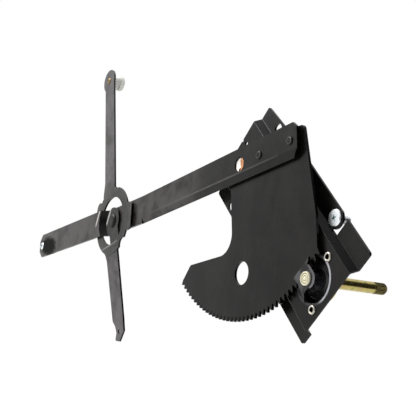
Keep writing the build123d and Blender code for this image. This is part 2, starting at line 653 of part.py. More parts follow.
def lift_arm():
    outline = lift_arm_outline()
    prism = plate(outline, ARM_LOW_BACK - ARM_STANDOFF, ARM_HIGH_FRONT + 1)
    spun = revolve(Plane.XZ * lift_arm_profile(), Axis.Z, 180)
    joggled = turned(EQUALIZER_PIVOT, ARM_TIP_ANGLE - 90) * spun
    reach = EQUALIZER_PIVOT_DISTANCE * 3
    right_half = turned(EQUALIZER_PIVOT, ARM_TIP_ANGLE) * block((-reach, 0), (-reach, reach), (-reach, reach))
    flat = plate(outline, ARM_LOW_BACK, ARM_LOW_FRONT) & right_half
    lip_along = (-ARM_KINK_DISTANCE, ARM_TAIL + 1)
    lip_across = (-ARM_HALF_WIDTH * 2, -ARM_LIP_START)
    lip_zone = block(lip_along, lip_across, (0, ARM_LOW_FRONT + 1))
    flat -= Rot(0, 0, ARM_ANGLE) * lip_zone
    flat += arm_lip() & prism
    arm = flat + (prism & joggled)
    arm -= disc(ARBOR_HEAD_RADIUS + FIT, ARM_LOW_BACK - 1, ARM_LOW_FRONT + 1)
    for along in ARM_RIVETS_ALONG:
        place = polar(along, ARM_ANGLE)
        arm -= Pos(place.X, place.Y, 0) * disc(RIVET_SHANK_RADIUS + FIT, ARM_LOW_BACK - 1, ARM_LOW_FRONT + 1)
    bore = disc(EQUALIZER_RIVET_RADIUS + RUNNING_CLEARANCE, ARM_LOW_BACK - 1, ARM_LOW_FRONT + 1)
    arm -= turned(EQUALIZER_PIVOT, 0) * bore
    stud_hole = disc(ROLLER_STUD_SHANK_RADIUS + FIT, ARM_HIGH_BACK - 1, ARM_HIGH_FRONT + 1)
    return arm - turned(LIFT_ROLLER, 0) * stud_hole


def arm_lip():
    """Stiffening roll that curves back along the arm's lower edge, between kink and tail."""
    centre = (-ARM_LIP_START, ARM_LOW_FRONT - ARM_LIP_RADIUS)
    reach = degrees(asin((ARM_HALF_WIDTH - ARM_LIP_START) / ARM_LIP_RADIUS))
    inner_radius = ARM_LIP_RADIUS - ARM_THICKNESS

    def at(radius, lean):
        return centre[0] - radius * sin(radians(lean)), centre[1] + radius * cos(radians(lean))

    section = make_face([
        ThreePointArc(at(ARM_LIP_RADIUS, 0), at(ARM_LIP_RADIUS, reach / 2), at(ARM_LIP_RADIUS, reach)),
        Line(at(ARM_LIP_RADIUS, reach), at(inner_radius, reach)),
        ThreePointArc(at(inner_radius, reach), at(inner_radius, reach / 2), at(inner_radius, 0)),
        Line(at(inner_radius, 0), at(ARM_LIP_RADIUS, 0)),
    ])
    length = ARM_KINK_DISTANCE + ARM_TAIL
    sheet = Plane(origin=(ARM_TAIL, 0, 0), x_dir=(0, 1, 0), z_dir=(1, 0, 0))
    return Rot(0, 0, ARM_ANGLE) * extrude(sheet * section, length, dir=(-1, 0, 0))


def shouldered_rivet():
    """Rivet with a spacing shoulder that holds the arm off the sector."""
    rivet = Pos(0, 0, ARM_LOW_FRONT) * round_head(RIVET_HEAD_RADIUS, RIVET_HEAD_HEIGHT)
    rivet += disc(RIVET_SHANK_RADIUS, SECTOR_BACK, ARM_LOW_FRONT)
    rivet += disc(RIVET_HEAD_RADIUS + 0.8, 0, ARM_STANDOFF)
    return rivet + disc(RIVET_HEAD_RADIUS, SECTOR_BACK - PLATE_GAP / 2, SECTOR_BACK)


def arm_rivets():
    rivets = []
    for along in ARM_RIVETS_ALONG:
        rivets.append(turned(polar(along, ARM_ANGLE), 0) * shouldered_rivet())
    return rivets


def pivot_arbor():
    """Arbor fixed in sector and arm; it turns in the bush, and its slotted tail drives the spring."""
    tail = WEB_BACK - SPRING_GAP - SPRING_WIDTH - ARBOR_TAIL
    arbor = disc(ARBOR_HEAD_RADIUS, 0, ARM_LOW_FRONT - ARBOR_HEAD_RECESS)
    arbor += disc(ARBOR_RADIUS, tail, 0)
    slot_along = (-ARBOR_RADIUS - 1, ARBOR_RADIUS + 1)
    slot = block(slot_along, (-ARBOR_SLOT / 2, ARBOR_SLOT / 2), (tail - 1, WEB_BACK))
    return arbor - Rot(0, 0, PINION_ANGLE) * slot


# ======== crank body ========

def crank_shaft():
    shaft = disc(SHAFT_RADIUS, SHAFT_END + SHAFT_CHAMFER, BRAKE_FRONT)
    shaft += cone(SHAFT_RADIUS - SHAFT_CHAMFER, SHAFT_RADIUS, SHAFT_END, SHAFT_END + SHAFT_CHAMFER)
    groove_top = SHAFT_END + SHAFT_TIP_LENGTH + SHAFT_GROOVE_WIDTH
    groove = disc(SHAFT_RADIUS + 1, groove_top - SHAFT_GROOVE_WIDTH, groove_top)
    groove -= disc(SHAFT_RADIUS - SHAFT_GROOVE_DEPTH, groove_top - SHAFT_GROOVE_WIDTH, groove_top)
    return turned(PINION_CENTRE, 0) * (shaft - groove)


def driver_core():
    """Core keyed to the shaft; its dog works between the tangs of the brake spring."""
    core = disc(CORE_RADIUS, BRAKE_BACK, BRAKE_FRONT)
    core += block((0, DOG_REACH), (-DOG_HALF_WIDTH, DOG_HALF_WIDTH), (BRAKE_BACK, BRAKE_FRONT))
    core -= disc(SHAFT_RADIUS + FIT, BRAKE_BACK - 1, BRAKE_FRONT + 1)
    return turned(PINION_CENTRE, PINION_ANGLE) * core


def brake_spring():
    """Close-wound wrap spring that grips the inside of the drum, with two inward tangs."""
    inner = BRAKE_RADIUS - BRAKE_WIRE
    coil = disc(BRAKE_RADIUS, BRAKE_BACK, BRAKE_FRONT) - disc(inner, BRAKE_BACK - 1, BRAKE_FRONT + 1)
    for side in (-1, 1):
        tang_along = (inner - BRAKE_TANG_LENGTH, inner + BRAKE_WIRE / 2)
        tang = block(tang_along, (-BRAKE_WIRE / 2, BRAKE_WIRE / 2), (BRAKE_BACK, BRAKE_FRONT))
        coil += Rot(0, 0, side * BRAKE_TANG_ANGLE) * tang
    return turned(PINION_CENTRE, PINION_ANGLE) * coil


def driven_plate():
    """Plate on the pinion's hub that closes the hole in the bowl's floor."""
    cover = disc(BOWL_HOLE_RADIUS - DRIVEN_PLATE_MARGIN, DRIVEN_PLATE_BACK, DRIVEN_PLATE_FRONT)
    cover -= disc(JOURNAL_RADIUS + 1 + FIT, DRIVEN_PLATE_BACK - 1, DRIVEN_PLATE_FRONT + 1)
    return turned(PINION_CENTRE, 0) * cover


def pinion_tooth():
    """Tooth on the x axis, waisted near its root to pass the sector's teeth."""
    flank = [
        (PINION_ROOT_RADIUS - 0.6, 1.5),
        (PINION_PITCH_RADIUS - 1.4, 1.22),
        (PINION_PITCH_RADIUS - 0.2, 1.58),
        (PINION_PITCH_RADIUS + 0.9, 1.3),
        (PINION_TIP_RADIUS, 0.78),
    ]
    other = [(x, -y) for x, y in reversed(flank)]
    return Polygon(*flank, *other, align=None)


def pinion():
    back = BRIDGE_CLEARANCE - ROLLER_END_PLAY - PINION_WIDTH
    front = BRIDGE_CLEARANCE - ROLLER_END_PLAY
    outline = Circle(PINION_ROOT_RADIUS)
    for number in range(PINION_TEETH):
        outline += Rot(0, 0, 180 + 360 / PINION_TEETH * number) * pinion_tooth()
    gear = plate(outline, back, front)
    gear += disc(JOURNAL_RADIUS, front, BRIDGE_CLEARANCE + BRIDGE_THICKNESS)
    gear += disc(JOURNAL_RADIUS + 1, DRIVEN_PLATE_BACK - BRAKE_GAP, back)
    return turned(PINION_CENTRE, PINION_ANGLE) * gear


# ======== equalizer body ========

def lobe(reach, half_width):
    return Pos(reach / 2, 0) * RectangleRounded(reach, 2 * half_width, LOBE_CORNER_RADIUS)


def upper_arm_outline():
    shank = Polygon(
        (RING_INNER_RADIUS, UPPER_ARM_FLARE[1]),
        UPPER_ARM_FLARE,
        (UPPER_ARM_FLARE[0] * 1.4, UPPER_ARM_LEFT_EDGE[0] - 1),
        (UPPER_ARM_LENGTH, UPPER_ARM_LEFT_EDGE[1]),
        (UPPER_ARM_LENGTH, -UPPER_ARM_RIGHT_EDGE[1]),
        (RING_INNER_RADIUS, -UPPER_ARM_RIGHT_EDGE[0]),
        align=None,
    )
    return Rot(0, 0, UPPER_ARM_ANGLE) * (shank + Pos(UPPER_ARM_LENGTH, 0) * Circle(UPPER_HEAD_RADIUS))


def ring_outline():
    outline = Circle(RING_OUTER_RADIUS)
    outline += Rot(0, 0, LEFT_LOBE_ANGLE) * lobe(LEFT_LOBE_REACH, LEFT_LOBE_HALF_WIDTH)
    outline += Rot(0, 0, RIGHT_LOBE_ANGLE) * lobe(RIGHT_LOBE_REACH, RIGHT_LOBE_HALF_WIDTH)
    outline += upper_arm_outline()
    notch = polar(NECK_NOTCH_DISTANCE, NECK_NOTCH_ANGLE)
    outline -= Pos(notch.X, notch.Y) * Circle(NECK_NOTCH_RADIUS)
    lower_notch = polar(LOWER_NOTCH_DISTANCE, LOWER_NOTCH_ANGLE)
    outline -= Pos(lower_notch.X, lower_notch.Y) * Circle(LOWER_NOTCH_RADIUS)
    return outline - Circle(RING_INNER_RADIUS)


def lower_arm():
    """Lower half: leans back from its bend line, and ends in a narrow tongue bent further back."""
    middle = (RING_BACK + RING_FRONT) / 2
    tongue_start = LOWER_ARM_LENGTH
    tongue_end = LOWER_ARM_LENGTH + TONGUE_LENGTH
    drop = (tongue_start - LOWER_ARM_BEND) * tan(radians(LOWER_ARM_LEAN))
    tongue_drop = drop + TONGUE_LENGTH * tan(radians(TONGUE_LEAN))
    path = [
        (RING_INNER_RADIUS + 2, middle),
        (LOWER_ARM_BEND, middle),
        (tongue_start, middle - drop),
        (tongue_end, middle - tongue_drop),
    ]
    profile = strip(path, EQUALIZER_THICKNESS / 2)
    side = Plane(origin=(0, 0, 0), x_dir=(1, 0, 0), z_dir=(0, -1, 0))
    sheet = extrude(side * profile, LOWER_ARM_ROOT_WIDTH, both=True)
    root = LOWER_ARM_ROOT_WIDTH / 2
    tip = LOWER_ARM_TIP_WIDTH / 2
    outline = Polygon(
        (RING_INNER_RADIUS, root),
        (tongue_start, tip),
        *[(tongue_start + x, y) for x, y in (TONGUE_SHOULDER, TONGUE_END, TONGUE_HOOK)],
        *[(tongue_start + x, y) for x, y in TONGUE_NOTCH],
        (tongue_start, -tip),
        *LOWER_ARM_FLARE,
        (RING_INNER_RADIUS, -root),
        align=None,
    )
    ends = outline.vertices().sort_by(Axis.X)[-2:]
    outline = fillet(ends, TONGUE_CORNER_RADIUS)
    hole_level = middle - drop - TONGUE_HOLE[0] * tan(radians(TONGUE_LEAN))
    hole_place = Pos(tongue_start + TONGUE_HOLE[0], TONGUE_HOLE[1], hole_level)
    drill = disc(TONGUE_HOLE_RADIUS, -EQUALIZER_THICKNESS, EQUALIZER_THICKNESS)
    hole = hole_place * Rot(0, TONGUE_LEAN, 0) * drill
    trimmed = sheet & plate(outline, middle - 2 * tongue_drop, middle + EQUALIZER_THICKNESS)
    return Rot(0, 0, LOWER_ARM_ANGLE) * (trimmed - hole)


def equalizer_arm():
    body = plate(ring_outline(), RING_BACK, RING_FRONT) + lower_arm()
    neck = Rot(0, 0, SPOON_NECK_ANGLE) * Pos(RING_INNER_RADIUS / 2 + 1, 0) * Rectangle(
        RING_INNER_RADIUS + 2, SPOON_NECK_WIDTH
    )
    spoon = plate(Circle(SPOON_RADIUS) + neck, SPOON_BACK, SPOON_FRONT)
    body += spoon
    body -= disc(EQUALIZER_RIVET_RADIUS + FIT, SPOON_BACK - 1, SPOON_FRONT + 1)
    head = polar(UPPER_ARM_LENGTH, UPPER_ARM_ANGLE)
    body -= Pos(head.X, head.Y, 0) * disc(ROLLER_STUD_SHANK_RADIUS + FIT, RING_BACK - 1, RING_FRONT + 1)
    return turned(EQUALIZER_PIVOT, 0) * body


def equalizer_rivet():
    rivet = Pos(0, 0, SPOON_FRONT) * round_head(EQUALIZER_RIVET_HEAD_RADIUS, EQUALIZER_RIVET_HEAD_HEIGHT)
    rivet += disc(EQUALIZER_RIVET_RADIUS, ARM_LOW_BACK, SPOON_FRONT)
    rivet += disc(EQUALIZER_RIVET_HEAD_RADIUS, ARM_LOW_BACK - EQUALIZER_RIVET_BACK_HEIGHT, ARM_LOW_BACK)
    return turned(EQUALIZER_PIVOT, 0) * rivet


def equalizer_washer():
    washer = disc(SPOON_RADIUS - 4, ARM_LOW_FRONT, SPOON_BACK)
    return turned(EQUALIZER_PIVOT, 0) * (washer - disc(EQUALIZER_RIVET_RADIUS + FIT, 0, SPOON_FRONT))


# ======== rollers ========

def roller_back(front):
    return front + ROLLER_STUD_HEAD_HEIGHT - ROLLER_SETBACK - ROLLER_WIDTH


def roller_stud(centre, back, front):
    """Stud staked in an arm between the levels back and front; its axle carries a roller."""
    roller_front = roller_back(front) + ROLLER_WIDTH
    stud = Pos(0, 0, front) * round_head(ROLLER_STUD_HEAD_RADIUS, ROLLER_STUD_HEAD_HEIGHT)
    stud += disc(ROLLER_STUD_SHANK_RADIUS, back, front)
    stud += disc(ROLLER_STUD_COLLAR_RADIUS, roller_front + ROLLER_END_PLAY, back)
    axle_end = roller_back(front) - ROLLER_END_PLAY
    stud += disc(ROLLER_AXLE_RADIUS, axle_end, roller_front + ROLLER_END_PLAY)
    stud += disc(ROLLER_STUD_CAP_RADIUS, axle_end - ROLLER_STUD_CAP_HEIGHT, axle_end)
    return turned(centre, 0) * stud


def roller(centre, front):
    """Plain nylon roller with bevelled rims."""
    back = roller_back(front)
    body = disc(ROLLER_RADIUS, back, back + ROLLER_WIDTH)
    body = chamfer(body.edges().filter_by(GeomType.CIRCLE), ROLLER_BEVEL)
    body -= disc(ROLLER_AXLE_RADIUS + RUNNING_CLEARANCE, back - 1, back + ROLLER_WIDTH + 1)
    return turned(centre, 0) * body


# ======== the assembly ========

NODES = {
    "backplate": backplate,
    "mounting_studs": mounting_studs,
    "crank_housing": crank_housing,
    "housing_rivets": housing_rivets,
    "pinion_bearing": pinion_bearing,
    "pivot_bush": pivot_bush,
    "spring_anchor": spring_anchor,
    "counterbalance_spring": counterbalance_spring,
    "sector_plate": sector_plate,
    "lift_arm": lift_arm,
    "arm_rivets": arm_rivets,
    "pivot_arbor": pivot_arbor,
    "lift_roller_stud": lambda: roller_stud(LIFT_ROLLER, ARM_HIGH_BACK, ARM_HIGH_FRONT),
    "lift_roller": lambda: roller(LIFT_ROLLER, ARM_HIGH_FRONT),
    "crank_shaft": crank_shaft,
    "driver_core": driver_core,
    "brake_spring": brake_spring,
    "driven_plate": driven_plate,
    "pinion": pinion,
    "equalizer_arm": equalizer_arm,
    "equalizer_rivet": equalizer_rivet,
    "equalizer_washer": equalizer_washer,
    "equalizer_roller_stud": lambda: roller_stud(EQUALIZER_ROLLER, RING_BACK, RING_FRONT),
    "equalizer_roller": lambda: roller(EQUALIZER_ROLLER, RING_FRONT),
}

os.makedirs("parts", exist_ok=True)
for name, make in NODES.items():
    made = make()
    pieces = made if isinstance(made, list) else [made]
    solids = [solid for piece in pieces for solid in stand_up(piece).solids()]
    shape = solids[0] if len(solids) == 1 else Compound(children=solids)
    export_step(shape, os.path.join("parts", name + ".step"))
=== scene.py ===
import json
import math
import bpy
import bmesh
from mathutils import Matrix, Vector


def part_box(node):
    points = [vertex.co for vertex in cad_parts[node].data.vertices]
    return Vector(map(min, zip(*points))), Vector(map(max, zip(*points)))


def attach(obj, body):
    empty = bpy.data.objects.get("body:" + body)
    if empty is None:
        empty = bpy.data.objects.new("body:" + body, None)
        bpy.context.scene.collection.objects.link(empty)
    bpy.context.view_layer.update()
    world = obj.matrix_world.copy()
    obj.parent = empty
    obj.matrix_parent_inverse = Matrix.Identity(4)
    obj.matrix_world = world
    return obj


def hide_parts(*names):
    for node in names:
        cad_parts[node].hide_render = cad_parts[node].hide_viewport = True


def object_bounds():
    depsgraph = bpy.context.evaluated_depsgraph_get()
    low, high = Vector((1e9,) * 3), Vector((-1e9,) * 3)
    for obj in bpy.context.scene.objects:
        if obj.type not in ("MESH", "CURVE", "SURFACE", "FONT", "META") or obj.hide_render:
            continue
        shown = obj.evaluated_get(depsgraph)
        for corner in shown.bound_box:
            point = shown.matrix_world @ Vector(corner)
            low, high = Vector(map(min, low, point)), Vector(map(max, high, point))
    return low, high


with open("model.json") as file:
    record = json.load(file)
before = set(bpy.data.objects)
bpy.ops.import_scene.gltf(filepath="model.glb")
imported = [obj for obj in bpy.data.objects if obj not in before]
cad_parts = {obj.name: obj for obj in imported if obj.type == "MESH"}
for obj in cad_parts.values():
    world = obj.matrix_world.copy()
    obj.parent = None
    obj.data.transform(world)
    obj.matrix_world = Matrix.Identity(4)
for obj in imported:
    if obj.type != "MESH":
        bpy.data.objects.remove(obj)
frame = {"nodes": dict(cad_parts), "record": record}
cad_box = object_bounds()

MM = 0.001

# ---- the view ----
CAMERA_PLACE = Vector((0.6364, -0.4637, -0.1505))
CAMERA_RIGHT = Vector((0.5293, 0.8385, 0.1294))
CAMERA_UP = Vector((0.0, -0.1525, 0.9883))
FOCAL_LENGTH = 69.23
FLOOR_DROP = 0.30
FLOOR_SIZE = 14
FLOOR_TONE = 0.8
FLOOR_SEEN_TONE = 0.35
FLOOR_GLOW = 0.85
AMBIENT = 0.5
# Lamps: (name, place, what it faces, width and height, watts), in metres.
LAMPS = [
    ("left_key", (-1.4, -1.3, 1.3), (-0.1, 0, 0), (1.2, 1.2), 45),
    ("top_fill", (-0.6, 0.3, 1.5), (0, 0, 0), (1.2, 0.8), 6),
]
# Dark cards, not seen by the camera: (name, place, what it faces, width and height), in metres.
DARK_CARDS = [
    ("dark_card_behind", (0.62, 0.34, 0.05), (0.13, 0.03, -0.1), (0.9, 0.95)),
    ("dark_card_in_front", (1.25, -0.8, 0.0), (0.0, 0.0, -0.1), (1.3, 1.2)),
    ("dark_card_above", (0.62, -0.2, 0.85), (0.1, 0.0, -0.1), (0.9, 0.8)),
]
CARD_TONE = (0.012, 0.011, 0.01)
CARD_ROUGHNESS = 0.9

# ---- black paint: colours as linear red, green and blue ----
PAINT_ROUGHNESS = (0.16, 0.38)
PAINT_DARK = (0.0034, 0.0031, 0.0028)
PAINT_LIGHT = (0.0105, 0.0096, 0.0088)
PAINT_SPECK = (0.03, 0.027, 0.025)
STREAK_BRIGHTNESS = 1.7
HANDLED_TONE = (0.085, 0.077, 0.078)
ARM_HANDLED_TONE = (0.055, 0.05, 0.049)
DARK_PATCH_TONE = (0.001, 0.0013, 0.0008)
DARK_PATCH_ROUGHNESS = 0.95
BOWL_PAINTED_LIGHT_TONE = (0.10, 0.102, 0.104)
BOWL_RIM_HIGHLIGHT_TONE = (0.72, 0.73, 0.78)
EDGE_AND_WALL_SHADE_TONE = (0.001, 0.0009, 0.0008)
EDGE_WEAR_AND_HIGHLIGHT_TONE = (0.30, 0.285, 0.27)
BRIDGE_HIGHLIGHT_TONE = (0.42, 0.41, 0.43)
HIGHLIGHT_LINE_TINT = (1, 0.97, 0.94)

# ---- where the paint is marked, in metres from the piece named ----
FAR = 1
EVERYWHERE = (-2, 2)
ARM_RUBBED_FROM_TIP = (-0.1, 0.40)
ARM_DARK_PATCH_FROM_STUD = (0.0265, 0.001)
ARM_DARK_PATCH_RADII = (0.033, 0.0155)
RING_SHADE_FROM_RIVET = (0.014, -0.004)
RING_SHADE_RADII = (0.052, 0.050)
RING_SPARED_RADII = (0.055, 0.055)
BOWL_PAINTED_LIGHT_RADII = (0.021, 0.021)
BOWL_RIM_HIGHLIGHT_RADII = (0.0205, 0.0237)
BOWL_RIM_HIGHLIGHT_START = 0.0165
BOWL_RIM_HIGHLIGHT_FADE = 0.008
CREST_ANGLE = 13.15
CREST_BEFORE_PIVOT = 0.06
CREST_BELOW_PIVOT = 0.0088
# Painted highlight lines: (brightness, point in X and Z, degrees, half width, reach), in metres.
ARM_HIGHLIGHT_LINE = (0.85, (-0.3412, -0.0962), 74, 0.0022, 0.014)
RING_HIGHLIGHT_LINES = [
    (0.28, (-0.3045, -0.1318), 20, 0.0015, 0.024),
    (0.80, (-0.3195, -0.0950), 72, 0.0022, 0.012),
]

# ---- the bridge's painted highlight, in metres from the crank's axis ----
BRIDGE_REACH = 0.0165
BRIDGE_DEPTH = 0.0045
BRIDGE_TOP = 0.0125

# ---- sizes of the small fasteners, in millimetres ----
STUD_HEAD_RADIUS = 8.3
STUD_HEAD_HEIGHT = 2
STUD_SHOULDER_RADIUS = 4.6
STUD_SHOULDER_LENGTH = 2.2
STUD_THREAD_RADIUS = 4
STUD_THREAD_DEPTH = 0.55
STUD_THREAD_PITCH = 1.25
STUD_THREAD_START = 5.4
STUD_THREAD_RUNOUT = 1.8
STUD_PUNCH_HOLLOW = (3.7, -0.4)
RIVET_HEAD_RADIUS = 4.4
RIVET_SHANK_RADIUS = 2.4
RIVET_HOLLOW_RADIUS = 2.35
SHAFT_RADIUS = 5.55
SHAFT_TIP_LENGTH = 15
SHAFT_SPLINES = 30
SPLINE_DEPTH = 0.45
# Run of the splines: (length, narrowing) of the straight part and of the lead.
SPLINE_RUNS = ((12.4, 1), (1.2, 0.86))
CAP_RADIUS = 6.4
CAP_GROOVES = ((1.8, 2.9), (3.8, 5.0))
STAKED_HEAD_HEIGHT = 1.1
ROLLER_WAIST_RADIUS = 6.9
ROLLER_SPIGOT_BORE = 5.65
ROLLER_TO_ARM_GAP = 0.3
ROLLER_BORE_RADIUS = 3.6
STUD_NECK_RADIUS = 3.4
STUD_NECK_END = 2.2
STUD_AXLE_RADIUS = 3.5
ARBOR_TAIL_RADIUS = 6


# ======== meshes ========

def lathe(points, steps=72):
    """Body of revolution from (radius, level) points in mm; the level grows towards the front."""
    form = bmesh.new()
    verts = [form.verts.new((radius * MM, 0, level * MM)) for radius, level in points]
    edges = [form.edges.new(pair) for pair in zip(verts, verts[1:])]
    bmesh.ops.spin(
        form,
        geom=verts + edges,
        cent=(0, 0, 0),
        axis=(0, 0, 1),
        dvec=(0, 0, 0),
        angle=math.tau,
        steps=steps,
        use_merge=True,
        use_duplicate=False,
    )
    bmesh.ops.remove_doubles(form, verts=form.verts, dist=MM / 200)
    bmesh.ops.recalc_face_normals(form, faces=form.faces)
    return form


def soften(form, width, segments=2, sharper_than=35):
    """Rounds every sharp edge, and marks the rounded strips, where the paint is rubbed bright and given a
    painted highlight.
    """
    limit = math.radians(sharper_than)
    edges = [e for e in form.edges if len(e.link_faces) == 2 and e.calc_face_angle(0) > limit]
    layer = form.faces.layers.float.new("rounded")
    made = bmesh.ops.bevel(
        form,
        geom=edges,
        offset=width * MM,
        offset_type="OFFSET",
        segments=segments,
        profile=0.5,
        affect="EDGES",
        material=-1,
        clamp_overlap=True,
    )
    for face in made["faces"]:
        face.normal_update()
        face[layer] = 1 if abs(face.normal.y) > 0.8 else 0.15
    return form


def star_prism(points, outer, inner, bottom, top, turn=0):
    """Star-shaped punch, drawn from a circle whose every second corner is pulled in."""
    form = bmesh.new()
    ring = bmesh.ops.create_circle(form, cap_ends=True, segments=2 * points, radius=outer * MM)["verts"]
    for vert in ring[1::2]:
        vert.co *= inner / outer
    spin = Matrix.Rotation(math.radians(turn), 3, "Z")
    bmesh.ops.rotate(form, verts=form.verts, cent=(0, 0, 0), matrix=spin)
    bmesh.ops.translate(form, verts=form.verts, vec=(0, 0, bottom * MM))
    grown = bmesh.ops.extrude_face_region(form, geom=list(form.faces))
    lifted = [item for item in grown["geom"] if isinstance(item, bmesh.types.BMVert)]
    bmesh.ops.translate(form, verts=lifted, vec=(0, 0, (top - bottom) * MM))
    bmesh.ops.recalc_face_normals(form, faces=form.faces)
    return form


def join(*forms):
    """Several closed bodies of one piece, in one mesh."""
    whole = bmesh.new()
    for form in forms:
        mesh = bpy.data.meshes.new("part")
        form.to_mesh(mesh)
        form.free()
        whole.from_mesh(mesh)
        bpy.data.meshes.remove(mesh)
    return whole


def place(form, box):
    """Stands a body up: its axis points forwards through the box's middle, with level 0 at its front."""
    upright = Matrix(((1, 0, 0, 0), (0, 0, -1, 0), (0, 1, 0, 0), (0, 0, 0, 1)))
    centre = middle(box)
    spot = Matrix.Translation((centre.x, box[0].y, centre.z))
    bmesh.ops.transform(form, matrix=spot @ upright, verts=form.verts)
    return form


def piece(name, form, finish, smooth_under=32):
    """Object of one finish, at the origin, smooth except where its faces meet sharply."""
    mesh = bpy.data.meshes.new(name)
    form.to_mesh(mesh)
    form.free()
    mesh.materials.append(finish)
    mesh.shade_smooth()
    mesh.set_sharp_from_angle(angle=math.radians(smooth_under))
    thing = bpy.data.objects.new(name, mesh)
    bpy.context.scene.collection.objects.link(thing)
    level = thing.modifiers.new("level", "WEIGHTED_NORMAL")
    level.keep_sharp = True
    return thing


def cut(body, tool):
    """Takes the second body out of the first."""
    body_mesh = bpy.data.meshes.new("body")
    body.to_mesh(body_mesh)
    tool_mesh = bpy.data.meshes.new("tool")
    tool.to_mesh(tool_mesh)
    body.free()
    tool.free()
    body_thing = bpy.data.objects.new("body", body_mesh)
    tool_thing = bpy.data.objects.new("tool", tool_mesh)
    bpy.context.scene.collection.objects.link(body_thing)
    bpy.context.scene.collection.objects.link(tool_thing)
    cutter = body_thing.modifiers.new("cutter", "BOOLEAN")
    cutter.operation = "DIFFERENCE"
    cutter.solver = "EXACT"
    cutter.object = tool_thing
    bpy.context.view_layer.update()
    finished = body_thing.evaluated_get(bpy.context.evaluated_depsgraph_get())
    result = bpy.data.meshes.new_from_object(finished)
    form = bmesh.new()
    form.from_mesh(result)
    bmesh.ops.remove_doubles(form, verts=form.verts, dist=MM / 500)
    bpy.data.objects.remove(body_thing)
    bpy.data.objects.remove(tool_thing)
    for mesh in (body_mesh, tool_mesh, result):
        bpy.data.meshes.remove(mesh)
    return form


def node_form(node):
    """Merged copy of a CAD node's loose triangles."""
    form = bmesh.new()
    form.from_mesh(frame["nodes"][node].data)
    bmesh.ops.remove_doubles(form, verts=form.verts, dist=MM / 1000)
    return form


def islands(node):
    """(lowest corner, highest corner) of each separate solid in a node, top one first."""
    form = node_form(node)
    waiting = set(form.verts)
    boxes = []
    while waiting:
        reached = [waiting.pop()]
        group = list(reached)
        while reached:
            vert = reached.pop()
            for edge in vert.link_edges:
                other = edge.other_vert(vert)
                if other in waiting:
                    waiting.remove(other)
                    reached.append(other)
                    group.append(other)
        low = Vector([min(v.co[axis] for v in group) for axis in range(3)])
        high = Vector([max(v.co[axis] for v in group) for axis in range(3)])
        boxes.append((low, high))
    form.free()
    return sorted(boxes, key=lambda box: -box[1].z)


def middle(box):
    return (box[0] + box[1]) / 2


def radius_of(box):
    return (box[1].x - box[0].x) / 2 / MM


def depth_of(box):
    return (box[1].y - box[0].y) / MM


BODY_OF = {}
for body_name, members in frame["record"]["behaviour"]["bodies"].items():
    for member in members:
        BODY_OF[member] = body_name
SLOT_OF = {row["node"]: row["material_slot"] for row in frame["record"]["subparts"]}


def stand_for(thing, node):
    """The piece is shown in place of the node, on its body and in its finish."""
    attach(thing, BODY_OF[node])
    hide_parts(node)


# ======== finishes ========

def direction(degrees):
    """Unit vector in the X-Z plane."""
    return Vector((math.cos(math.radians(degrees)), math.sin(math.radians(degrees))))


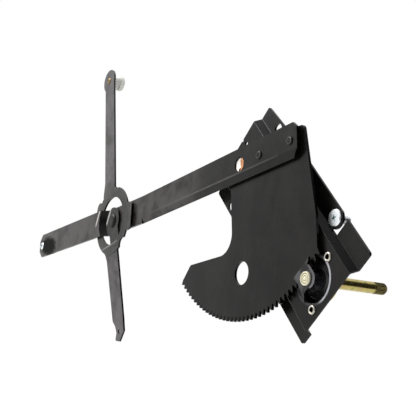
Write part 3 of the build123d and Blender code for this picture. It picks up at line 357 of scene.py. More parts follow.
class Finish:
    """Node tree of one finish, with short calls for the textures that it uses."""

    def __init__(self, name):
        self.material = bpy.data.materials.new(name)
        self.material.use_nodes = True
        self.nodes = self.material.node_tree.nodes
        self.links = self.material.node_tree.links
        self.shader = self.nodes["Principled BSDF"]
        self.where = self.nodes.new("ShaderNodeTexCoord").outputs["Object"]

    def new(self, kind, **settings):
        node = self.nodes.new(kind)
        for key, value in settings.items():
            setattr(node, key, value)
        return node

    def stretched(self, scale):
        """Coordinates that draw a texture out along the axes with a small scale."""
        mapping = self.new("ShaderNodeMapping")
        mapping.inputs["Scale"].default_value = scale
        self.links.new(self.where, mapping.inputs["Vector"])
        return mapping.outputs["Vector"]

    def noise(self, grain, detail=4, roughness=0.5, along=None):
        """Noise whose grains are about `grain` mm across."""
        node = self.new("ShaderNodeTexNoise")
        node.inputs["Scale"].default_value = 1 / (grain * MM)
        node.inputs["Detail"].default_value = detail
        node.inputs["Roughness"].default_value = roughness
        self.links.new(along or self.where, node.inputs["Vector"])
        return node.outputs["Fac"]

    def ramp(self, value, stops, smooth=False):
        node = self.new("ShaderNodeValToRGB")
        node.color_ramp.interpolation = "EASE" if smooth else "LINEAR"
        elements = node.color_ramp.elements
        while len(elements) < len(stops):
            elements.new(0.5)
        for element, (position, colour) in zip(elements, stops):
            element.position = position
            element.color = (*colour, 1) if isinstance(colour, tuple) else (colour, colour, colour, 1)
        self.links.new(value, node.inputs["Fac"])
        return node.outputs["Color"]

    def mix(self, factor, first, second):
        node = self.new("ShaderNodeMix", data_type="RGBA")
        self.links.new(factor, node.inputs["Factor"])
        for socket, value in ((node.inputs[6], first), (node.inputs[7], second)):
            if isinstance(value, tuple):
                socket.default_value = (*value, 1)
            else:
                self.links.new(value, socket)
        return node.outputs[2]

    def math(self, operation, first, second):
        node = self.new("ShaderNodeMath", operation=operation)
        for socket, value in ((node.inputs[0], first), (node.inputs[1], second)):
            if isinstance(value, (int, float)):
                socket.default_value = value
            else:
                self.links.new(value, socket)
        return node.outputs[0]

    def axis(self, letter):
        split = self.new("ShaderNodeSeparateXYZ")
        self.links.new(self.where, split.inputs[0])
        return split.outputs[letter]

    def step(self, value, start, end, interpolation="SMOOTHSTEP"):
        """0 up to start, rising to 1 at end."""
        node = self.new("ShaderNodeMapRange", interpolation_type=interpolation)
        node.inputs["From Min"].default_value = start
        node.inputs["From Max"].default_value = end
        self.links.new(value, node.inputs["Value"])
        return node.outputs["Result"]

    def between(self, letter, start, end, fade):
        """1 where the coordinate lies between start and end (metres), fading out over `fade`."""
        after_start = self.step(self.axis(letter), start - fade, start)
        before_end = self.step(self.axis(letter), end + fade, end)
        return self.math("MULTIPLY", after_start, before_end)

    def hump(self, value):
        """1 at 0, falling to 0 at 1 on either side."""
        return self.math("MAXIMUM", self.math("SUBTRACT", 1, self.math("MULTIPLY", value, value)), 0)

    def away(self, centre, radii):
        """Squared distance from `centre` in the X-Z plane, in units of the two radii."""
        offsets = []
        for letter, middle_at, radius in zip("XZ", centre, radii):
            offset = self.math("DIVIDE", self.math("SUBTRACT", self.axis(letter), middle_at), radius)
            offsets.append(self.math("MULTIPLY", offset, offset))
        return self.math("ADD", *offsets)

    def ring(self, centre, inner, outer):
        """1 on a ring about `centre` in the X-Z plane, soft on both sides."""
        far = self.math("SQRT", self.away(centre, (1, 1)), 0)
        off = self.math("SUBTRACT", far, (inner + outer) / 2)
        across = self.math("DIVIDE", off, (outer - inner) / 2)
        broken = self.scaled(self.noise(6, detail=3), (0.5, 1))
        return self.math("MULTIPLY", self.hump(across), broken)

    def weighted(self, operation, first, first_weight, second, second_weight):
        left = self.math("MULTIPLY", first, first_weight)
        return self.math(operation, left, self.math("MULTIPLY", second, second_weight))

    def line(self, point, degrees, half_width, reach):
        """1 on a straight line through `point` in the X-Z plane, soft on both sides."""
        along = direction(degrees)
        shift_x = self.math("SUBTRACT", self.axis("X"), point[0])
        shift_z = self.math("SUBTRACT", self.axis("Z"), point[1])
        run = self.weighted("ADD", shift_x, along.x, shift_z, along.y)
        rise = self.weighted("SUBTRACT", shift_z, along.x, shift_x, along.y)
        near = self.hump(self.math("DIVIDE", rise, half_width))
        held = self.hump(self.math("DIVIDE", run, reach))
        broken = self.scaled(self.noise(12, detail=4), (0.35, 1))
        return self.math("MULTIPLY", self.math("MULTIPLY", near, self.math("SQRT", held, 0)), broken)

    def patch(self, centre, radii, ragged):
        """1 inside an oval about `centre` in the X-Z plane, with a mottled rim."""
        mottle = self.math("MULTIPLY", self.noise(ragged, detail=4, roughness=0.7), 1.6)
        return self.step(self.math("ADD", self.away(centre, radii), mottle), 2.0, 1.1)

    def marked(self, name):
        """Value that the mesh's faces carry under this name."""
        return self.new("ShaderNodeAttribute", attribute_name=name).outputs["Fac"]

    def broadside(self):
        """1 on the sheet's front and back, 0 on its sheared edges and steep walls."""
        split = self.new("ShaderNodeSeparateXYZ")
        self.links.new(self.new("ShaderNodeTexCoord").outputs["Normal"], split.inputs[0])
        return self.step(self.math("ABSOLUTE", split.outputs["Y"], 0), 0.6, 0.9)

    def colour(self, value):
        self.links.new(value, self.shader.inputs["Base Color"])

    def scaled(self, value, limits):
        """A value between 0 and 1, stretched between two limits."""
        node = self.new("ShaderNodeMapRange")
        node.inputs["To Min"].default_value = limits[0]
        node.inputs["To Max"].default_value = limits[1]
        self.links.new(value, node.inputs["Value"])
        return node.outputs["Result"]

    def roughness(self, value, low, high):
        self.links.new(self.scaled(value, (low, high)), self.shader.inputs["Roughness"])

    def bump(self, value, height, strength=0.5):
        """Relief of about `height` mm, on top of any relief already there."""
        node = self.new("ShaderNodeBump")
        node.inputs["Strength"].default_value = strength
        node.inputs["Distance"].default_value = height * MM
        self.links.new(value, node.inputs["Height"])
        normal = self.shader.inputs["Normal"]
        if normal.is_linked:
            self.links.new(normal.links[0].from_socket, node.inputs["Normal"])
        self.links.new(node.outputs["Normal"], normal)

    def set(self, **values):
        for key, value in values.items():
            self.shader.inputs[key.replace("_", " ")].default_value = value
        return self.material


def black_paint(
    name="black_paint", tone=1.0, gloss=0.17, stain=None, rubbed=None, handled_tone=HANDLED_TONE,
    spared=None, bowl=None, rim=None, highlight_lines=(),
):
    """Satin black dip paint: clouded and faintly pebbled, with painted shade that turns the sheared edges
    and steep walls near black, and worn bright with a painted highlight where the mesh marks an edge as
    rounded or as the bridge's.

    tone multiplies the paint's two colours, and gloss is its mirror strength. An oval is (centre, radii,
    grain in mm). stain is (strength, *oval) of a dull dark patch, painted shade on the ring, rubbed is (from
    x, to x) of a stretch handled to handled_tone, and spared is the oval left out of it. bowl is the oval of
    painted light, a pale patchy glow. rim is (centre, inner radius, outer radius) of a ring of painted
    highlight, mostly on its right side. Each of highlight_lines is a painted highlight: (brightness, point,
    degrees, half width, reach).
    """
    finish = Finish(name)
    dark = tuple(tone * value for value in PAINT_DARK)
    light = tuple(tone * value for value in PAINT_LIGHT)
    clouds = finish.noise(38, detail=5, roughness=0.6)
    body = finish.mix(finish.ramp(clouds, [(0.35, 0.0), (0.7, 1.0)], smooth=True), dark, light)
    runs = finish.noise(9, detail=3, along=finish.stretched((1, 1, 0.22)))
    streak = tuple(STREAK_BRIGHTNESS * value for value in light)
    body = finish.mix(finish.ramp(runs, [(0.5, 0.0), (0.8, 0.5)]), body, streak)
    specks = finish.ramp(finish.noise(1.1, detail=1), [(0.74, 0.0), (0.79, 0.5)])
    body = finish.mix(specks, body, PAINT_SPECK)
    dull = finish.scaled(finish.noise(17, detail=5, roughness=0.65), PAINT_ROUGHNESS)
    if rubbed:
        wiped = finish.noise(21, detail=5, roughness=0.55)
        wiped = finish.ramp(wiped, [(0.3, 0.1), (0.62, 1.0)], smooth=True)
        handled = finish.math("MULTIPLY", wiped, finish.between("X", rubbed[0], rubbed[1], 0.06))
        if spared:
            handled = finish.math("MULTIPLY", handled, finish.math("SUBTRACT", 1, finish.patch(*spared)))
        body = finish.mix(handled, body, handled_tone)
    # A dull dark patch: painted shade on the equalizer ring, and a mottled dark disc beside the stud on the
    # lift arm.
    if stain:
        strength, *oval = stain
        mottle = finish.noise(3.5, detail=3, roughness=0.7)
        mottle = finish.scaled(mottle, (strength * 0.4, strength * 1.6))
        inside = finish.math("MINIMUM", finish.math("MULTIPLY", finish.patch(*oval), mottle), 1)
        body = finish.mix(inside, body, DARK_PATCH_TONE)
        dull = finish.math("MAXIMUM", dull, finish.math("MULTIPLY", inside, DARK_PATCH_ROUGHNESS))
    # Painted light: soft pale patches inside the bowl.
    if bowl:
        lit_patches = finish.ramp(finish.noise(15, detail=2), [(0.4, 0.1), (0.62, 1.0)])
        body = finish.mix(finish.math("MULTIPLY", finish.patch(*bowl), lit_patches), body, BOWL_PAINTED_LIGHT_TONE)
    # Painted highlight: a bright ring on the bowl's rim, mostly on its right side.
    if rim:
        right_side = finish.between("X", rim[0][0] + BOWL_RIM_HIGHLIGHT_START, FAR, BOWL_RIM_HIGHLIGHT_FADE)
        ring = finish.math("MULTIPLY", finish.ring(*rim), finish.scaled(right_side, (0.1, 1)))
        body = finish.mix(ring, body, BOWL_RIM_HIGHLIGHT_TONE)
    # Painted highlights: bright lines along bends and rounded edges.
    for bright, *run in highlight_lines:
        body = finish.mix(finish.line(*run), body, tuple(bright * part for part in HIGHLIGHT_LINE_TINT))
    # Painted shade: the sheared edges and steep walls turn near black.
    body = finish.mix(finish.broadside(), EDGE_AND_WALL_SHADE_TONE, body)
    # Worn edges with a painted highlight: the rounded strips turn bright grey.
    edge_rub_and_glint = finish.ramp(finish.noise(4, detail=4, roughness=0.7), [(0.36, 0.1), (0.62, 0.5)])
    edge_wear_and_glint = finish.math("MULTIPLY", edge_rub_and_glint, finish.marked("rounded"))
    body = finish.mix(edge_wear_and_glint, body, EDGE_WEAR_AND_HIGHLIGHT_TONE)
    # Painted highlight along the bridge's marked edge.
    finish.colour(finish.mix(finish.marked("bridge_highlight"), body, BRIDGE_HIGHLIGHT_TONE))
    finish.links.new(dull, finish.shader.inputs["Roughness"])
    finish.bump(finish.noise(0.9, detail=2), 0.02, 0.35)
    finish.bump(finish.noise(24, detail=2), 0.5, 0.3)
    return finish.set(Specular_IOR_Level=gloss, Metallic=0.0)


def zinc_plate():
    """Bright zinc with a cold cast and a fine turned grain."""
    finish = Finish("zinc_plate")
    stain = finish.ramp(finish.noise(2.6, detail=5, roughness=0.65), [(0.35, 0.0), (0.75, 1.0)], smooth=True)
    bright = finish.mix(stain, (0.9, 0.93, 0.95), (0.7, 0.73, 0.75))
    finish.colour(finish.mix(finish.marked("hollow"), bright, (0.07, 0.16, 0.17)))
    finish.roughness(finish.noise(1.4, detail=4), 0.2, 0.42)
    finish.bump(finish.noise(0.35, detail=2), 0.02, 0.4)
    return finish.set(Metallic=1.0)


def steel_rivet():
    """Bare bright steel of the tubular rivets, warmer and rougher than the zinc."""
    finish = Finish("steel_rivet")
    stain = finish.ramp(finish.noise(1.8, detail=5, roughness=0.7), [(0.3, 0.0), (0.72, 1.0)], smooth=True)
    bare = finish.mix(stain, (0.7, 0.68, 0.6), (0.3, 0.29, 0.22))
    # Painted shade: the rivet's hollow turns near black.
    finish.colour(finish.mix(finish.marked("hollow"), bare, (0.035, 0.032, 0.02)))
    finish.roughness(finish.noise(0.9, detail=4), 0.22, 0.5)
    finish.bump(finish.noise(0.5, detail=3), 0.03, 0.5)
    return finish.set(Metallic=1.0)


def bearing_metal(centre):
    """Pale sintered bearing metal with a dull yellow cast, darker in its two turned grooves."""
    finish = Finish("bearing_metal")
    grain = finish.ramp(finish.noise(0.6, detail=3, roughness=0.7), [(0.35, 0.0), (0.7, 1.0)])
    body = finish.mix(grain, (0.9, 0.86, 0.66), (0.74, 0.69, 0.5))
    for groove in CAP_GROOVES:
        body = finish.mix(finish.ring(centre, *(edge * MM for edge in groove)), body, (0.16, 0.15, 0.07))
    finish.colour(body)
    finish.roughness(finish.noise(0.8, detail=3), 0.42, 0.62)
    finish.bump(finish.noise(0.3, detail=2), 0.03, 0.5)
    return finish.set(Metallic=0.35, Specular_IOR_Level=0.5)


def yellow_zinc(tip_start):
    """Yellow chromated zinc: gold that drifts to green and rose, darker on the splined end."""
    finish = Finish("yellow_zinc")
    drift = finish.noise(7, detail=4, roughness=0.6)
    tint = finish.ramp(
        drift,
        [
            (0.3, (0.27, 0.28, 0.09)),
            (0.45, (0.5, 0.42, 0.15)),
            (0.58, (0.44, 0.36, 0.13)),
            (0.72, (0.55, 0.36, 0.25)),
        ],
        smooth=True,
    )
    spots = finish.ramp(finish.noise(1.7, detail=4, roughness=0.7), [(0.5, 0.0), (0.76, 0.5)])
    body = finish.mix(spots, tint, (0.2, 0.17, 0.06))
    tip = finish.math("MULTIPLY", finish.between("Y", tip_start, FAR, 0.0015), 0.75)
    finish.colour(finish.mix(tip, body, (0.075, 0.068, 0.02)))
    finish.roughness(finish.noise(2.4, detail=4), 0.14, 0.3)
    turning = finish.noise(0.5, detail=2, along=finish.stretched((0.04, 1, 0.04)))
    finish.bump(turning, 0.02, 0.5)
    return finish.set(Metallic=1.0)


def copper_plate():
    """Copper flash with darker tarnish."""
    finish = Finish("copper_plate")
    stain = finish.ramp(finish.noise(1.6, detail=5, roughness=0.7), [(0.35, 0.0), (0.72, 1.0)], smooth=True)
    finish.colour(finish.mix(stain, (0.24, 0.16, 0.07), (0.09, 0.06, 0.025)))
    finish.roughness(finish.noise(1.0, detail=4), 0.25, 0.48)
    finish.bump(finish.noise(0.4, detail=2), 0.02, 0.4)
    return finish.set(Metallic=1.0)


def brazed_pivot(centre_x):
    """Pivot face: bright zinc on one side, run over with copper on the other."""
    finish = Finish("brazed_pivot")
    ragged = finish.math("MULTIPLY", finish.noise(2.2, detail=4, roughness=0.7), 0.006)
    across = finish.math("ADD", finish.axis("X"), ragged)
    side = finish.step(across, centre_x + 0.0018, centre_x + 0.0034, "LINEAR")
    stain = finish.ramp(finish.noise(1.5, detail=5, roughness=0.7), [(0.35, 0.0), (0.7, 1.0)], smooth=True)
    copper = finish.mix(stain, (0.72, 0.34, 0.16), (0.3, 0.13, 0.05))
    zinc = finish.mix(stain, (0.86, 0.84, 0.82), (0.74, 0.66, 0.6))
    finish.colour(finish.mix(side, zinc, copper))
    finish.roughness(finish.noise(0.9, detail=4), 0.3, 0.55)
    finish.bump(finish.noise(0.6, detail=3), 0.05, 0.5)
    return finish.set(Metallic=0.85)


def nylon():
    """Milky moulded nylon that lets a little light in."""
    finish = Finish("nylon")
    cloud = finish.ramp(finish.noise(5, detail=3), [(0.35, 0.0), (0.7, 1.0)], smooth=True)
    finish.colour(finish.mix(cloud, (0.95, 0.95, 0.89), (0.90, 0.91, 0.84)))
    finish.roughness(finish.noise(1.2, detail=3), 0.36, 0.52)
    finish.bump(finish.noise(3, detail=1), 0.01, 0.1)
    return finish.set(
        Metallic=0.0, Subsurface_Weight=0.08, Subsurface_Radius=(0.004, 0.004, 0.003), Subsurface_Scale=0.5
    )


def spring_steel():
    """Blued, oiled strip with streaks along it."""
    finish = Finish("spring_steel")
    heat = finish.ramp(
        finish.noise(12, detail=4, roughness=0.6),
        [(0.3, (0.05, 0.055, 0.075)), (0.55, (0.10, 0.10, 0.11)), (0.75, (0.14, 0.12, 0.10))],
        smooth=True,
    )
    oil = finish.ramp(finish.noise(3, detail=4, roughness=0.7), [(0.45, 0.0), (0.75, 0.6)])
    finish.colour(finish.mix(oil, heat, (0.03, 0.028, 0.026)))
    finish.roughness(finish.noise(2, detail=4), 0.25, 0.5)
    finish.bump(finish.noise(0.5, detail=2, along=finish.stretched((1, 0.1, 1))), 0.02, 0.4)
    return finish.set(Metallic=0.9)


def beside(place_of_piece, shift=(0, 0)):
    """Point in the X-Z plane, shifted from a piece's place."""
    return place_of_piece.x + shift[0], place_of_piece.z + shift[1]


STUD_PLACE = middle(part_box("lift_roller_stud"))
BOWL_PLACE = middle(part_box("crank_shaft"))
PIVOT_PLACE = middle(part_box("pivot_arbor"))
RING_PLACE = middle(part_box("equalizer_rivet"))
ARM_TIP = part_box("lift_arm")[0].x
CREST_ALONG = direction(CREST_ANGLE)
CREST_DOWN = Vector((CREST_ALONG.y, -CREST_ALONG.x))
CREST_START = Vector(beside(PIVOT_PLACE)) - CREST_BEFORE_PIVOT * CREST_ALONG
# Painted highlight along the lift arm's bend crest.
CREST_HIGHLIGHT_LINE = (0.11, CREST_START + CREST_BELOW_PIVOT * CREST_DOWN, CREST_ANGLE, 0.0012, 0.125)
PAINT = black_paint()
ARM_PAINT = black_paint(
    "arm_paint",
    tone=1.2,
    # a dull, mottled dark disc on the arm beside the stud
    stain=(1.1, beside(STUD_PLACE, ARM_DARK_PATCH_FROM_STUD), ARM_DARK_PATCH_RADII, 3),
    rubbed=(ARM_TIP + ARM_RUBBED_FROM_TIP[0], ARM_TIP + ARM_RUBBED_FROM_TIP[1]),
    handled_tone=ARM_HANDLED_TONE,
    highlight_lines=[CREST_HIGHLIGHT_LINE, ARM_HIGHLIGHT_LINE],
)
HANDLED_PAINT = black_paint(
    "handled_paint",
    tone=2.6,
    gloss=0.3,
    rubbed=EVERYWHERE,
    # painted shade: the ring darkens towards its lower right
    stain=(0.42, beside(RING_PLACE, RING_SHADE_FROM_RIVET), RING_SHADE_RADII, 6),
    spared=(beside(RING_PLACE), RING_SPARED_RADII, 9),
    highlight_lines=RING_HIGHLIGHT_LINES,
)
PLATE_PAINT = black_paint(
    "plate_paint",
    # painted light: pale patches inside the bowl
    bowl=(beside(BOWL_PLACE), BOWL_PAINTED_LIGHT_RADII, 5),
    # painted highlight on the bowl's rim, mostly on its right side
    rim=(beside(BOWL_PLACE), *BOWL_RIM_HIGHLIGHT_RADII),
)
PRESSING_PAINTS = {"lift_arm": ARM_PAINT, "equalizer_arm": HANDLED_PAINT, "backplate": PLATE_PAINT}
ZINC = zinc_plate()
STEEL = steel_rivet()
BEARING = bearing_metal(beside(BOWL_PLACE))
CHROMATE = yellow_zinc(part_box("crank_shaft")[1].y - SHAFT_TIP_LENGTH * MM)
COPPER = copper_plate()
NYLON = nylon()
SPRING = spring_steel()
FINISH_OF_SLOT = {
    "black_paint": PAINT,
    "zinc_plate": ZINC,
    "yellow_zinc": CHROMATE,
    "copper_plate": COPPER,
    "nylon": NYLON,
    "spring_steel": SPRING,
}


# ======== the painted pressings ========

# How far each pressing's sheared edges are rounded, in mm.
PRESSINGS = {
    "backplate": 0.5,
    "sector_plate": 0.35,
    "lift_arm": 0.35,
    "equalizer_arm": 0.15,
    "crank_housing": 0.2,
    "arm_rivets": 0.3,
    "equalizer_rivet": 0.4,
    "equalizer_washer": 0.1,
    "pinion": 0.15,
}


def paint_bridge_highlight(form):
    """Marks the bridge's sheared right edge, which carries a painted highlight."""
    layer = form.faces.layers.float.new("bridge_highlight")
    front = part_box("pinion_bearing")[0].y
    for face in form.faces:
        face.normal_update()
        centre = face.calc_center_median()
        off = centre - BOWL_PLACE
        near = math.hypot(off.x, off.z) < BRIDGE_REACH and off.z < BRIDGE_TOP
        face[layer] = near and front < centre.y < front + BRIDGE_DEPTH and face.normal.x > 0.5


def pressing(node, width):
    """The node's own shape with its sheared edges rounded, as after tumbling and paint."""
    form = node_form(node)
    bmesh.ops.dissolve_limit(
        form,
        angle_limit=math.radians(0.5),
        use_dissolve_boundaries=False,
        verts=form.verts,
        edges=form.edges,
        delimit=set(),
    )
    soften(form, width, segments=3)
    if node == "backplate":
        paint_bridge_highlight(form)
    finish = PRESSING_PAINTS.get(node, FINISH_OF_SLOT[SLOT_OF[node]])
    stand_for(piece(node + "_pressing", form, finish), node)


# ======== the studs and rivets ========

def thread(radius, depth, pitch, bottom, top):
    """Screw thread: a ridge profile swept along a helix, from level bottom to top."""
    form = bmesh.new()
    root = radius - depth
    corners = [(root, -pitch / 2), (radius, -pitch / 10), (radius, pitch / 10), (root, pitch / 2)]
    verts = [form.verts.new((x * MM, 0, (bottom + z) * MM)) for x, z in corners]
    edges = [form.edges.new(pair) for pair in zip(verts, verts[1:])]
    turns = (top - bottom) / pitch
    steps = int(turns * 28)
    bmesh.ops.spin(
        form,
        geom=verts + edges,
        cent=(0, 0, 0),
        axis=(0, 0, 1),
        dvec=(0, 0, (top - bottom) * MM / steps),
        angle=math.tau * turns,
        steps=steps,
        use_duplicate=False,
    )
    return form


def mounting_stud():
    """Clinch stud: wide flat head with a crossed punch mark, shoulder, and threaded end."""
    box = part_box("mounting_studs")
    length = depth_of(box)
    core = STUD_THREAD_RADIUS - STUD_THREAD_DEPTH
    shoulder = -STUD_HEAD_HEIGHT - STUD_SHOULDER_LENGTH
    body = lathe([
        (0, 0), (STUD_HEAD_RADIUS - 1.3, 0), (STUD_HEAD_RADIUS - 0.25, -0.75), (STUD_HEAD_RADIUS, -1.3),
        (STUD_HEAD_RADIUS, -STUD_HEAD_HEIGHT), (STUD_SHOULDER_RADIUS, -STUD_HEAD_HEIGHT),
        (STUD_SHOULDER_RADIUS, shoulder), (core, shoulder), (core, -length + 1), (core - 0.8, -length),
        (0, -length),
    ])
    body = cut(body, star_prism(4, 3.6, 1.2, -1.5, 0.5, turn=20))
    mark_hollow(body, *STUD_PUNCH_HOLLOW)
    soften(body, 0.12)
    bottom, top = -length + STUD_THREAD_RUNOUT, -STUD_THREAD_START
    ridge = thread(STUD_THREAD_RADIUS, STUD_THREAD_DEPTH, STUD_THREAD_PITCH, bottom, top)
    stand_for(piece("clinch_stud", place(join(body, ridge), box), ZINC), "mounting_studs")


def mark_hollow(form, radius, level):
    """Marks the faces inside a radius and below a level, which a finish can darken."""
    layer = form.faces.layers.float.new("hollow")
    for face in form.faces:
        centre = face.calc_center_median() / MM
        face[layer] = math.hypot(centre.x, centre.y) < radius and level > centre.z > level - 4


def housing_rivets():
    """Tubular rivets: a rolled ring head round an open hollow."""
    forms = []
    for box in islands("housing_rivets"):
        depth = depth_of(box)
        form = lathe([
            (0, -3.2), (RIVET_HOLLOW_RADIUS - 0.6, -3.1), (RIVET_HOLLOW_RADIUS - 0.25, -2.6),
            (RIVET_HOLLOW_RADIUS - 0.1, -1), (RIVET_HOLLOW_RADIUS + 0.1, -0.4),
            (RIVET_HOLLOW_RADIUS + 0.5, -0.08), (RIVET_HOLLOW_RADIUS + 1, 0),
            (RIVET_HEAD_RADIUS - 0.7, -0.12), (RIVET_HEAD_RADIUS - 0.15, -0.6), (RIVET_HEAD_RADIUS, -1.15),
            (RIVET_HEAD_RADIUS - 0.1, -1.6), (RIVET_SHANK_RADIUS, -1.6), (RIVET_SHANK_RADIUS, -depth + 1.2),
            (3.7, -depth + 1.2), (3.5, -depth + 0.3), (3.1, -depth), (0, -depth),
        ], steps=48)
        mark_hollow(form, RIVET_HOLLOW_RADIUS, -0.5)
        forms.append(place(form, box))
    stand_for(piece("tubular_rivets", join(*forms), STEEL, 50), "housing_rivets")


def bearing_cap():
    """Bearing of the pinion's front journal, with two turned rings and a spun-over lip."""
    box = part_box("pinion_bearing")
    depth = depth_of(box)
    (inner_start, inner_end), (outer_start, outer_end) = CAP_GROOVES
    form = lathe([
        (0, 0), (inner_start, -0.1), (inner_start + 0.1, -0.7), (inner_end - 0.1, -0.7), (inner_end, -0.1),
        (outer_start, -0.1), (outer_start + 0.1, -0.9), (outer_end - 0.1, -0.9), (outer_end, 0),
        (CAP_RADIUS - 0.7, 0), (CAP_RADIUS - 0.2, -0.5), (CAP_RADIUS, -1.2), (CAP_RADIUS, -1.8),
        (4.8, -1.8), (4.8, -depth), (0, -depth),
    ])
    soften(form, 0.08)
    stand_for(piece("bearing_cap", place(form, box), BEARING), "pinion_bearing")


def crank_shaft():
    """Crank shaft: plain body, retaining groove, and a splined end with a taper lead."""
    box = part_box("crank_shaft")
    length = depth_of(box)
    tip = length - SHAFT_TIP_LENGTH
    body = lathe([
        (0, 0), (SHAFT_RADIUS, 0), (SHAFT_RADIUS, -tip + 1.35), (SHAFT_RADIUS - 0.65, -tip + 1),
        (SHAFT_RADIUS - 0.65, -tip), (SHAFT_RADIUS - 0.3, -tip - 0.3), (SHAFT_RADIUS - 0.34, -length + 1.9),
        (SHAFT_RADIUS - 1.5, -length), (0, -length),
    ])
    soften(body, 0.1, sharper_than=50)
    splines = bmesh.new()
    rim = bmesh.ops.create_circle(
        splines, cap_ends=True, segments=2 * SHAFT_SPLINES, radius=SHAFT_RADIUS * MM
    )
    for vert in rim["verts"][1::2]:
        vert.co *= (SHAFT_RADIUS - SPLINE_DEPTH) / SHAFT_RADIUS
    bmesh.ops.translate(splines, verts=splines.verts, vec=(0, 0, (-tip - 0.4) * MM))
    for drop, narrowing in SPLINE_RUNS:
        end = [face for face in splines.faces if len(face.verts) > 4][-1:]
        grown = bmesh.ops.extrude_face_region(splines, geom=end)
        lifted = [item for item in grown["geom"] if isinstance(item, bmesh.types.BMVert)]
        bmesh.ops.translate(splines, verts=lifted, vec=(0, 0, -drop * MM))
        bmesh.ops.scale(splines, verts=lifted, vec=(narrowing, narrowing, 1))
    bmesh.ops.recalc_face_normals(splines, faces=splines.faces)
    stand_for(piece("splined_shaft", place(join(body, splines), box), CHROMATE, 28), "crank_shaft")


def pivot_face():
    """End of the pivot arbor: a shallow cup inside the arm, with a keyhole notch in its wall."""
    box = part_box("pivot_arbor")
    radius = radius_of(box)
    depth = depth_of(box)
    form = lathe([
        (0, -0.7), (2.2, -0.7), (2.6, -0.35), (4.4, -0.25), (5.2, 0), (radius - 0.6, 0), (radius, -0.5),
        (radius, -4), (ARBOR_TAIL_RADIUS, -4), (ARBOR_TAIL_RADIUS, -depth), (0, -depth),
    ])
    notch = bmesh.new()
    bmesh.ops.create_cube(notch, size=1)
    bmesh.ops.scale(notch, verts=notch.verts, vec=(3 * MM, 5 * MM, 7.6 * MM))
    bmesh.ops.translate(notch, verts=notch.verts, vec=(0.4 * MM, -6.4 * MM, 0))
    form = cut(form, notch)
    soften(form, 0.1)
    stand_for(piece("pivot_face", place(form, box), brazed_pivot(middle(box).x), 40), "pivot_arbor")


def roller_stud(node, name, head_finish, radius, punch):
    """Roller stud: a riveted head in front of the arm, and behind it the collar, axle and end cap.

    radius is the head's, and punch is (points, outer radius, inner radius) of the star in its face.
    """
    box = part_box(node)
    depth = depth_of(box)
    head = lathe([
        (0, -0.1), (radius - 1.8, -0.05), (radius - 0.8, -0.3), (radius - 0.2, -0.75),
        (radius, -STAKED_HEAD_HEIGHT), (STUD_NECK_RADIUS, -STAKED_HEAD_HEIGHT),
        (STUD_NECK_RADIUS, -STUD_NECK_END), (0, -STUD_NECK_END),
    ])
    head = cut(head, star_prism(*punch, -0.9, 0.6, turn=12))
    mark_hollow(head, radius, -0.6)
    soften(head, 0.1)
    stand_for(piece(name + "_head", place(head, box), head_finish, 40), node)
    axle = lathe([
        (0, -STUD_NECK_END), (STUD_NECK_RADIUS, -STUD_NECK_END), (STUD_NECK_RADIUS, -3.4), (5.5, -3.4),
        (5.5, -depth + 8), (STUD_AXLE_RADIUS, -depth + 8), (STUD_AXLE_RADIUS, -depth + 1.2),
        (5.2, -depth + 1.2), (5, -depth + 0.35), (4.2, -depth), (0, -depth),
    ])
    soften(axle, 0.12)
    stand_for(piece(name + "_axle", place(axle, box), ZINC, 40), node)


def roller(node, name, stud, sheet):
    """Moulded roller: crowned tread, dished back, and a cone that reaches forwards to the arm, whose
    sheet is `sheet` mm thick.
    """
    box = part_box(node)
    radius = radius_of(box)
    width = depth_of(box)
    reach = (box[0].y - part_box(stud)[0].y) / MM - STAKED_HEAD_HEIGHT - sheet - ROLLER_TO_ARM_GAP
    front = [
        (ROLLER_BORE_RADIUS, 0), (ROLLER_SPIGOT_BORE, 0), (ROLLER_SPIGOT_BORE, reach),
        (ROLLER_WAIST_RADIUS - 0.3, reach), (ROLLER_WAIST_RADIUS, reach - 0.4),
        (ROLLER_WAIST_RADIUS + 0.3, 3.2), (radius - 1.4, 0.2), (radius - 0.5, -0.1), (radius - 0.1, -0.7),
    ]
    back = [
        (radius - 0.1, 0.7), (radius - 0.8, 0), (8.7, 0), (8.3, 0.6), (5.7, 0.5), (5.4, 0),
        (ROLLER_BORE_RADIUS, 0),
    ]
    back = [(across, -width + level) for across, level in back]
    form = lathe(front + [(radius, -width / 2)] + back + [front[0]])
    soften(form, 0.12)
    stand_for(piece(name, place(form, box), NYLON, 40), node)


# ======== camera, light and floor ========

def add_camera():
    data = bpy.data.cameras.new("view")
    data.lens = FOCAL_LENGTH
    data.clip_end = 50
    camera = bpy.data.objects.new("view", data)
    bpy.context.scene.collection.objects.link(camera)
    back = CAMERA_RIGHT.cross(CAMERA_UP).normalized()
    turn = Matrix((CAMERA_RIGHT, CAMERA_UP, back)).transposed().to_4x4()
    camera.matrix_world = Matrix.Translation(CAMERA_PLACE) @ turn
    bpy.context.scene.camera = camera


def add_lamp(name, spot, target, size, power):
    data = bpy.data.lights.new(name, "AREA")
    data.shape = "RECTANGLE"
    data.size, data.size_y = size
    data.energy = power
    lamp = bpy.data.objects.new(name, data)
    bpy.context.scene.collection.objects.link(lamp)
    lamp.location = spot
    lamp.rotation_euler = (Vector(target) - Vector(spot)).to_track_quat("-Z", "Y").to_euler()


def seen_directly(nodes, links):
    """1 for camera, mirror and see-through rays, 0 for the rays that light the object."""
    path = nodes.new("ShaderNodeLightPath")
    total = path.outputs["Is Camera Ray"]
    for other in ("Is Glossy Ray", "Is Transmission Ray"):
        larger = nodes.new("ShaderNodeMath")
        larger.operation = "MAXIMUM"
        links.new(total, larger.inputs[0])
        links.new(path.outputs[other], larger.inputs[1])
        total = larger.outputs[0]
    return total


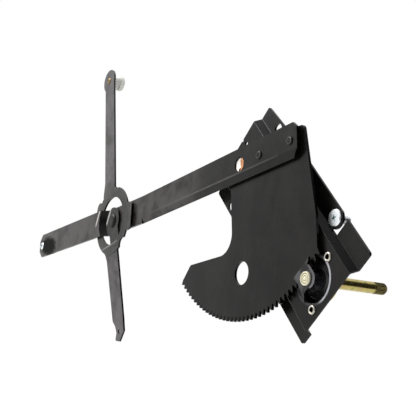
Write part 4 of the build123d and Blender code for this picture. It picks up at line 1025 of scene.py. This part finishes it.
def add_world():
    """Soft light all round, and plain white where the surroundings are seen."""
    world = bpy.data.worlds.new("studio")
    bpy.context.scene.world = world
    world.use_nodes = True
    nodes = world.node_tree.nodes
    links = world.node_tree.links
    nodes.clear()
    output = nodes.new("ShaderNodeOutputWorld")
    mix = nodes.new("ShaderNodeMixShader")
    links.new(seen_directly(nodes, links), mix.inputs["Fac"])
    for socket, strength in ((mix.inputs[1], AMBIENT), (mix.inputs[2], 1)):
        glow = nodes.new("ShaderNodeBackground")
        glow.inputs["Color"].default_value = (1, 1, 1, 1)
        glow.inputs["Strength"].default_value = strength
        links.new(glow.outputs[0], socket)
    links.new(mix.outputs[0], output.inputs["Surface"])


def add_floor():
    """Pale sheet below the object: it keeps the shadow, and is white where it is seen."""
    form = bmesh.new()
    bmesh.ops.create_grid(form, x_segments=1, y_segments=1, size=FLOOR_SIZE / 2)
    bmesh.ops.translate(form, verts=form.verts, vec=(0, 0, cad_box[0][2] - FLOOR_DROP))
    material = bpy.data.materials.new("floor_paper")
    material.use_nodes = True
    nodes = material.node_tree.nodes
    links = material.node_tree.links
    nodes.clear()
    output = nodes.new("ShaderNodeOutputMaterial")
    paper = nodes.new("ShaderNodeBsdfDiffuse")
    paper.inputs["Color"].default_value = (FLOOR_TONE, FLOOR_TONE, FLOOR_TONE, 1)
    shade = nodes.new("ShaderNodeBsdfDiffuse")
    shade.inputs["Color"].default_value = (FLOOR_SEEN_TONE, FLOOR_SEEN_TONE, FLOOR_SEEN_TONE, 1)
    glow = nodes.new("ShaderNodeEmission")
    glow.inputs["Strength"].default_value = FLOOR_GLOW
    both = nodes.new("ShaderNodeAddShader")
    mix = nodes.new("ShaderNodeMixShader")
    links.new(shade.outputs[0], both.inputs[0])
    links.new(glow.outputs[0], both.inputs[1])
    links.new(seen_directly(nodes, links), mix.inputs["Fac"])
    links.new(paper.outputs[0], mix.inputs[1])
    links.new(both.outputs[0], mix.inputs[2])
    links.new(mix.outputs[0], output.inputs["Surface"])
    piece("floor", form, material)


def add_cards():
    """Dark cards round the object, seen only in its reflections."""
    material = bpy.data.materials.new("dark_card")
    material.use_nodes = True
    shader = material.node_tree.nodes["Principled BSDF"]
    shader.inputs["Base Color"].default_value = (*CARD_TONE, 1)
    shader.inputs["Roughness"].default_value = CARD_ROUGHNESS
    for name, spot, target, size in DARK_CARDS:
        form = bmesh.new()
        bmesh.ops.create_grid(form, x_segments=1, y_segments=1, size=0.5)
        bmesh.ops.scale(form, verts=form.verts, vec=(*size, 1))
        facing = (Vector(target) - Vector(spot)).to_track_quat("Z", "Y").to_matrix().to_4x4()
        bmesh.ops.transform(form, matrix=Matrix.Translation(spot) @ facing, verts=form.verts)
        card = piece(name, form, material)
        card.visible_camera = False
        card.visible_diffuse = False
        card.visible_shadow = False


for node, slot in SLOT_OF.items():
    thing = frame["nodes"][node]
    thing.data.materials.clear()
    thing.data.materials.append(FINISH_OF_SLOT[slot])

for node, width in PRESSINGS.items():
    pressing(node, width)
mounting_stud()
housing_rivets()
bearing_cap()
crank_shaft()
pivot_face()
roller_stud("lift_roller_stud", "lift_stud", ZINC, radius=5.6, punch=(5, 4.6, 1.3))
roller_stud("equalizer_roller_stud", "equalizer_stud", COPPER, radius=4.7, punch=(8, 1.1, 1))
roller("lift_roller", "lift_roller_moulding", "lift_roller_stud", sheet=2.8)
roller("equalizer_roller", "equalizer_roller_moulding", "equalizer_roller_stud", sheet=2.4)

add_camera()
add_world()
add_floor()
add_cards()
for lamp_values in LAMPS:
    add_lamp(*lamp_values)

bpy.context.scene.view_settings.view_transform = "Standard"
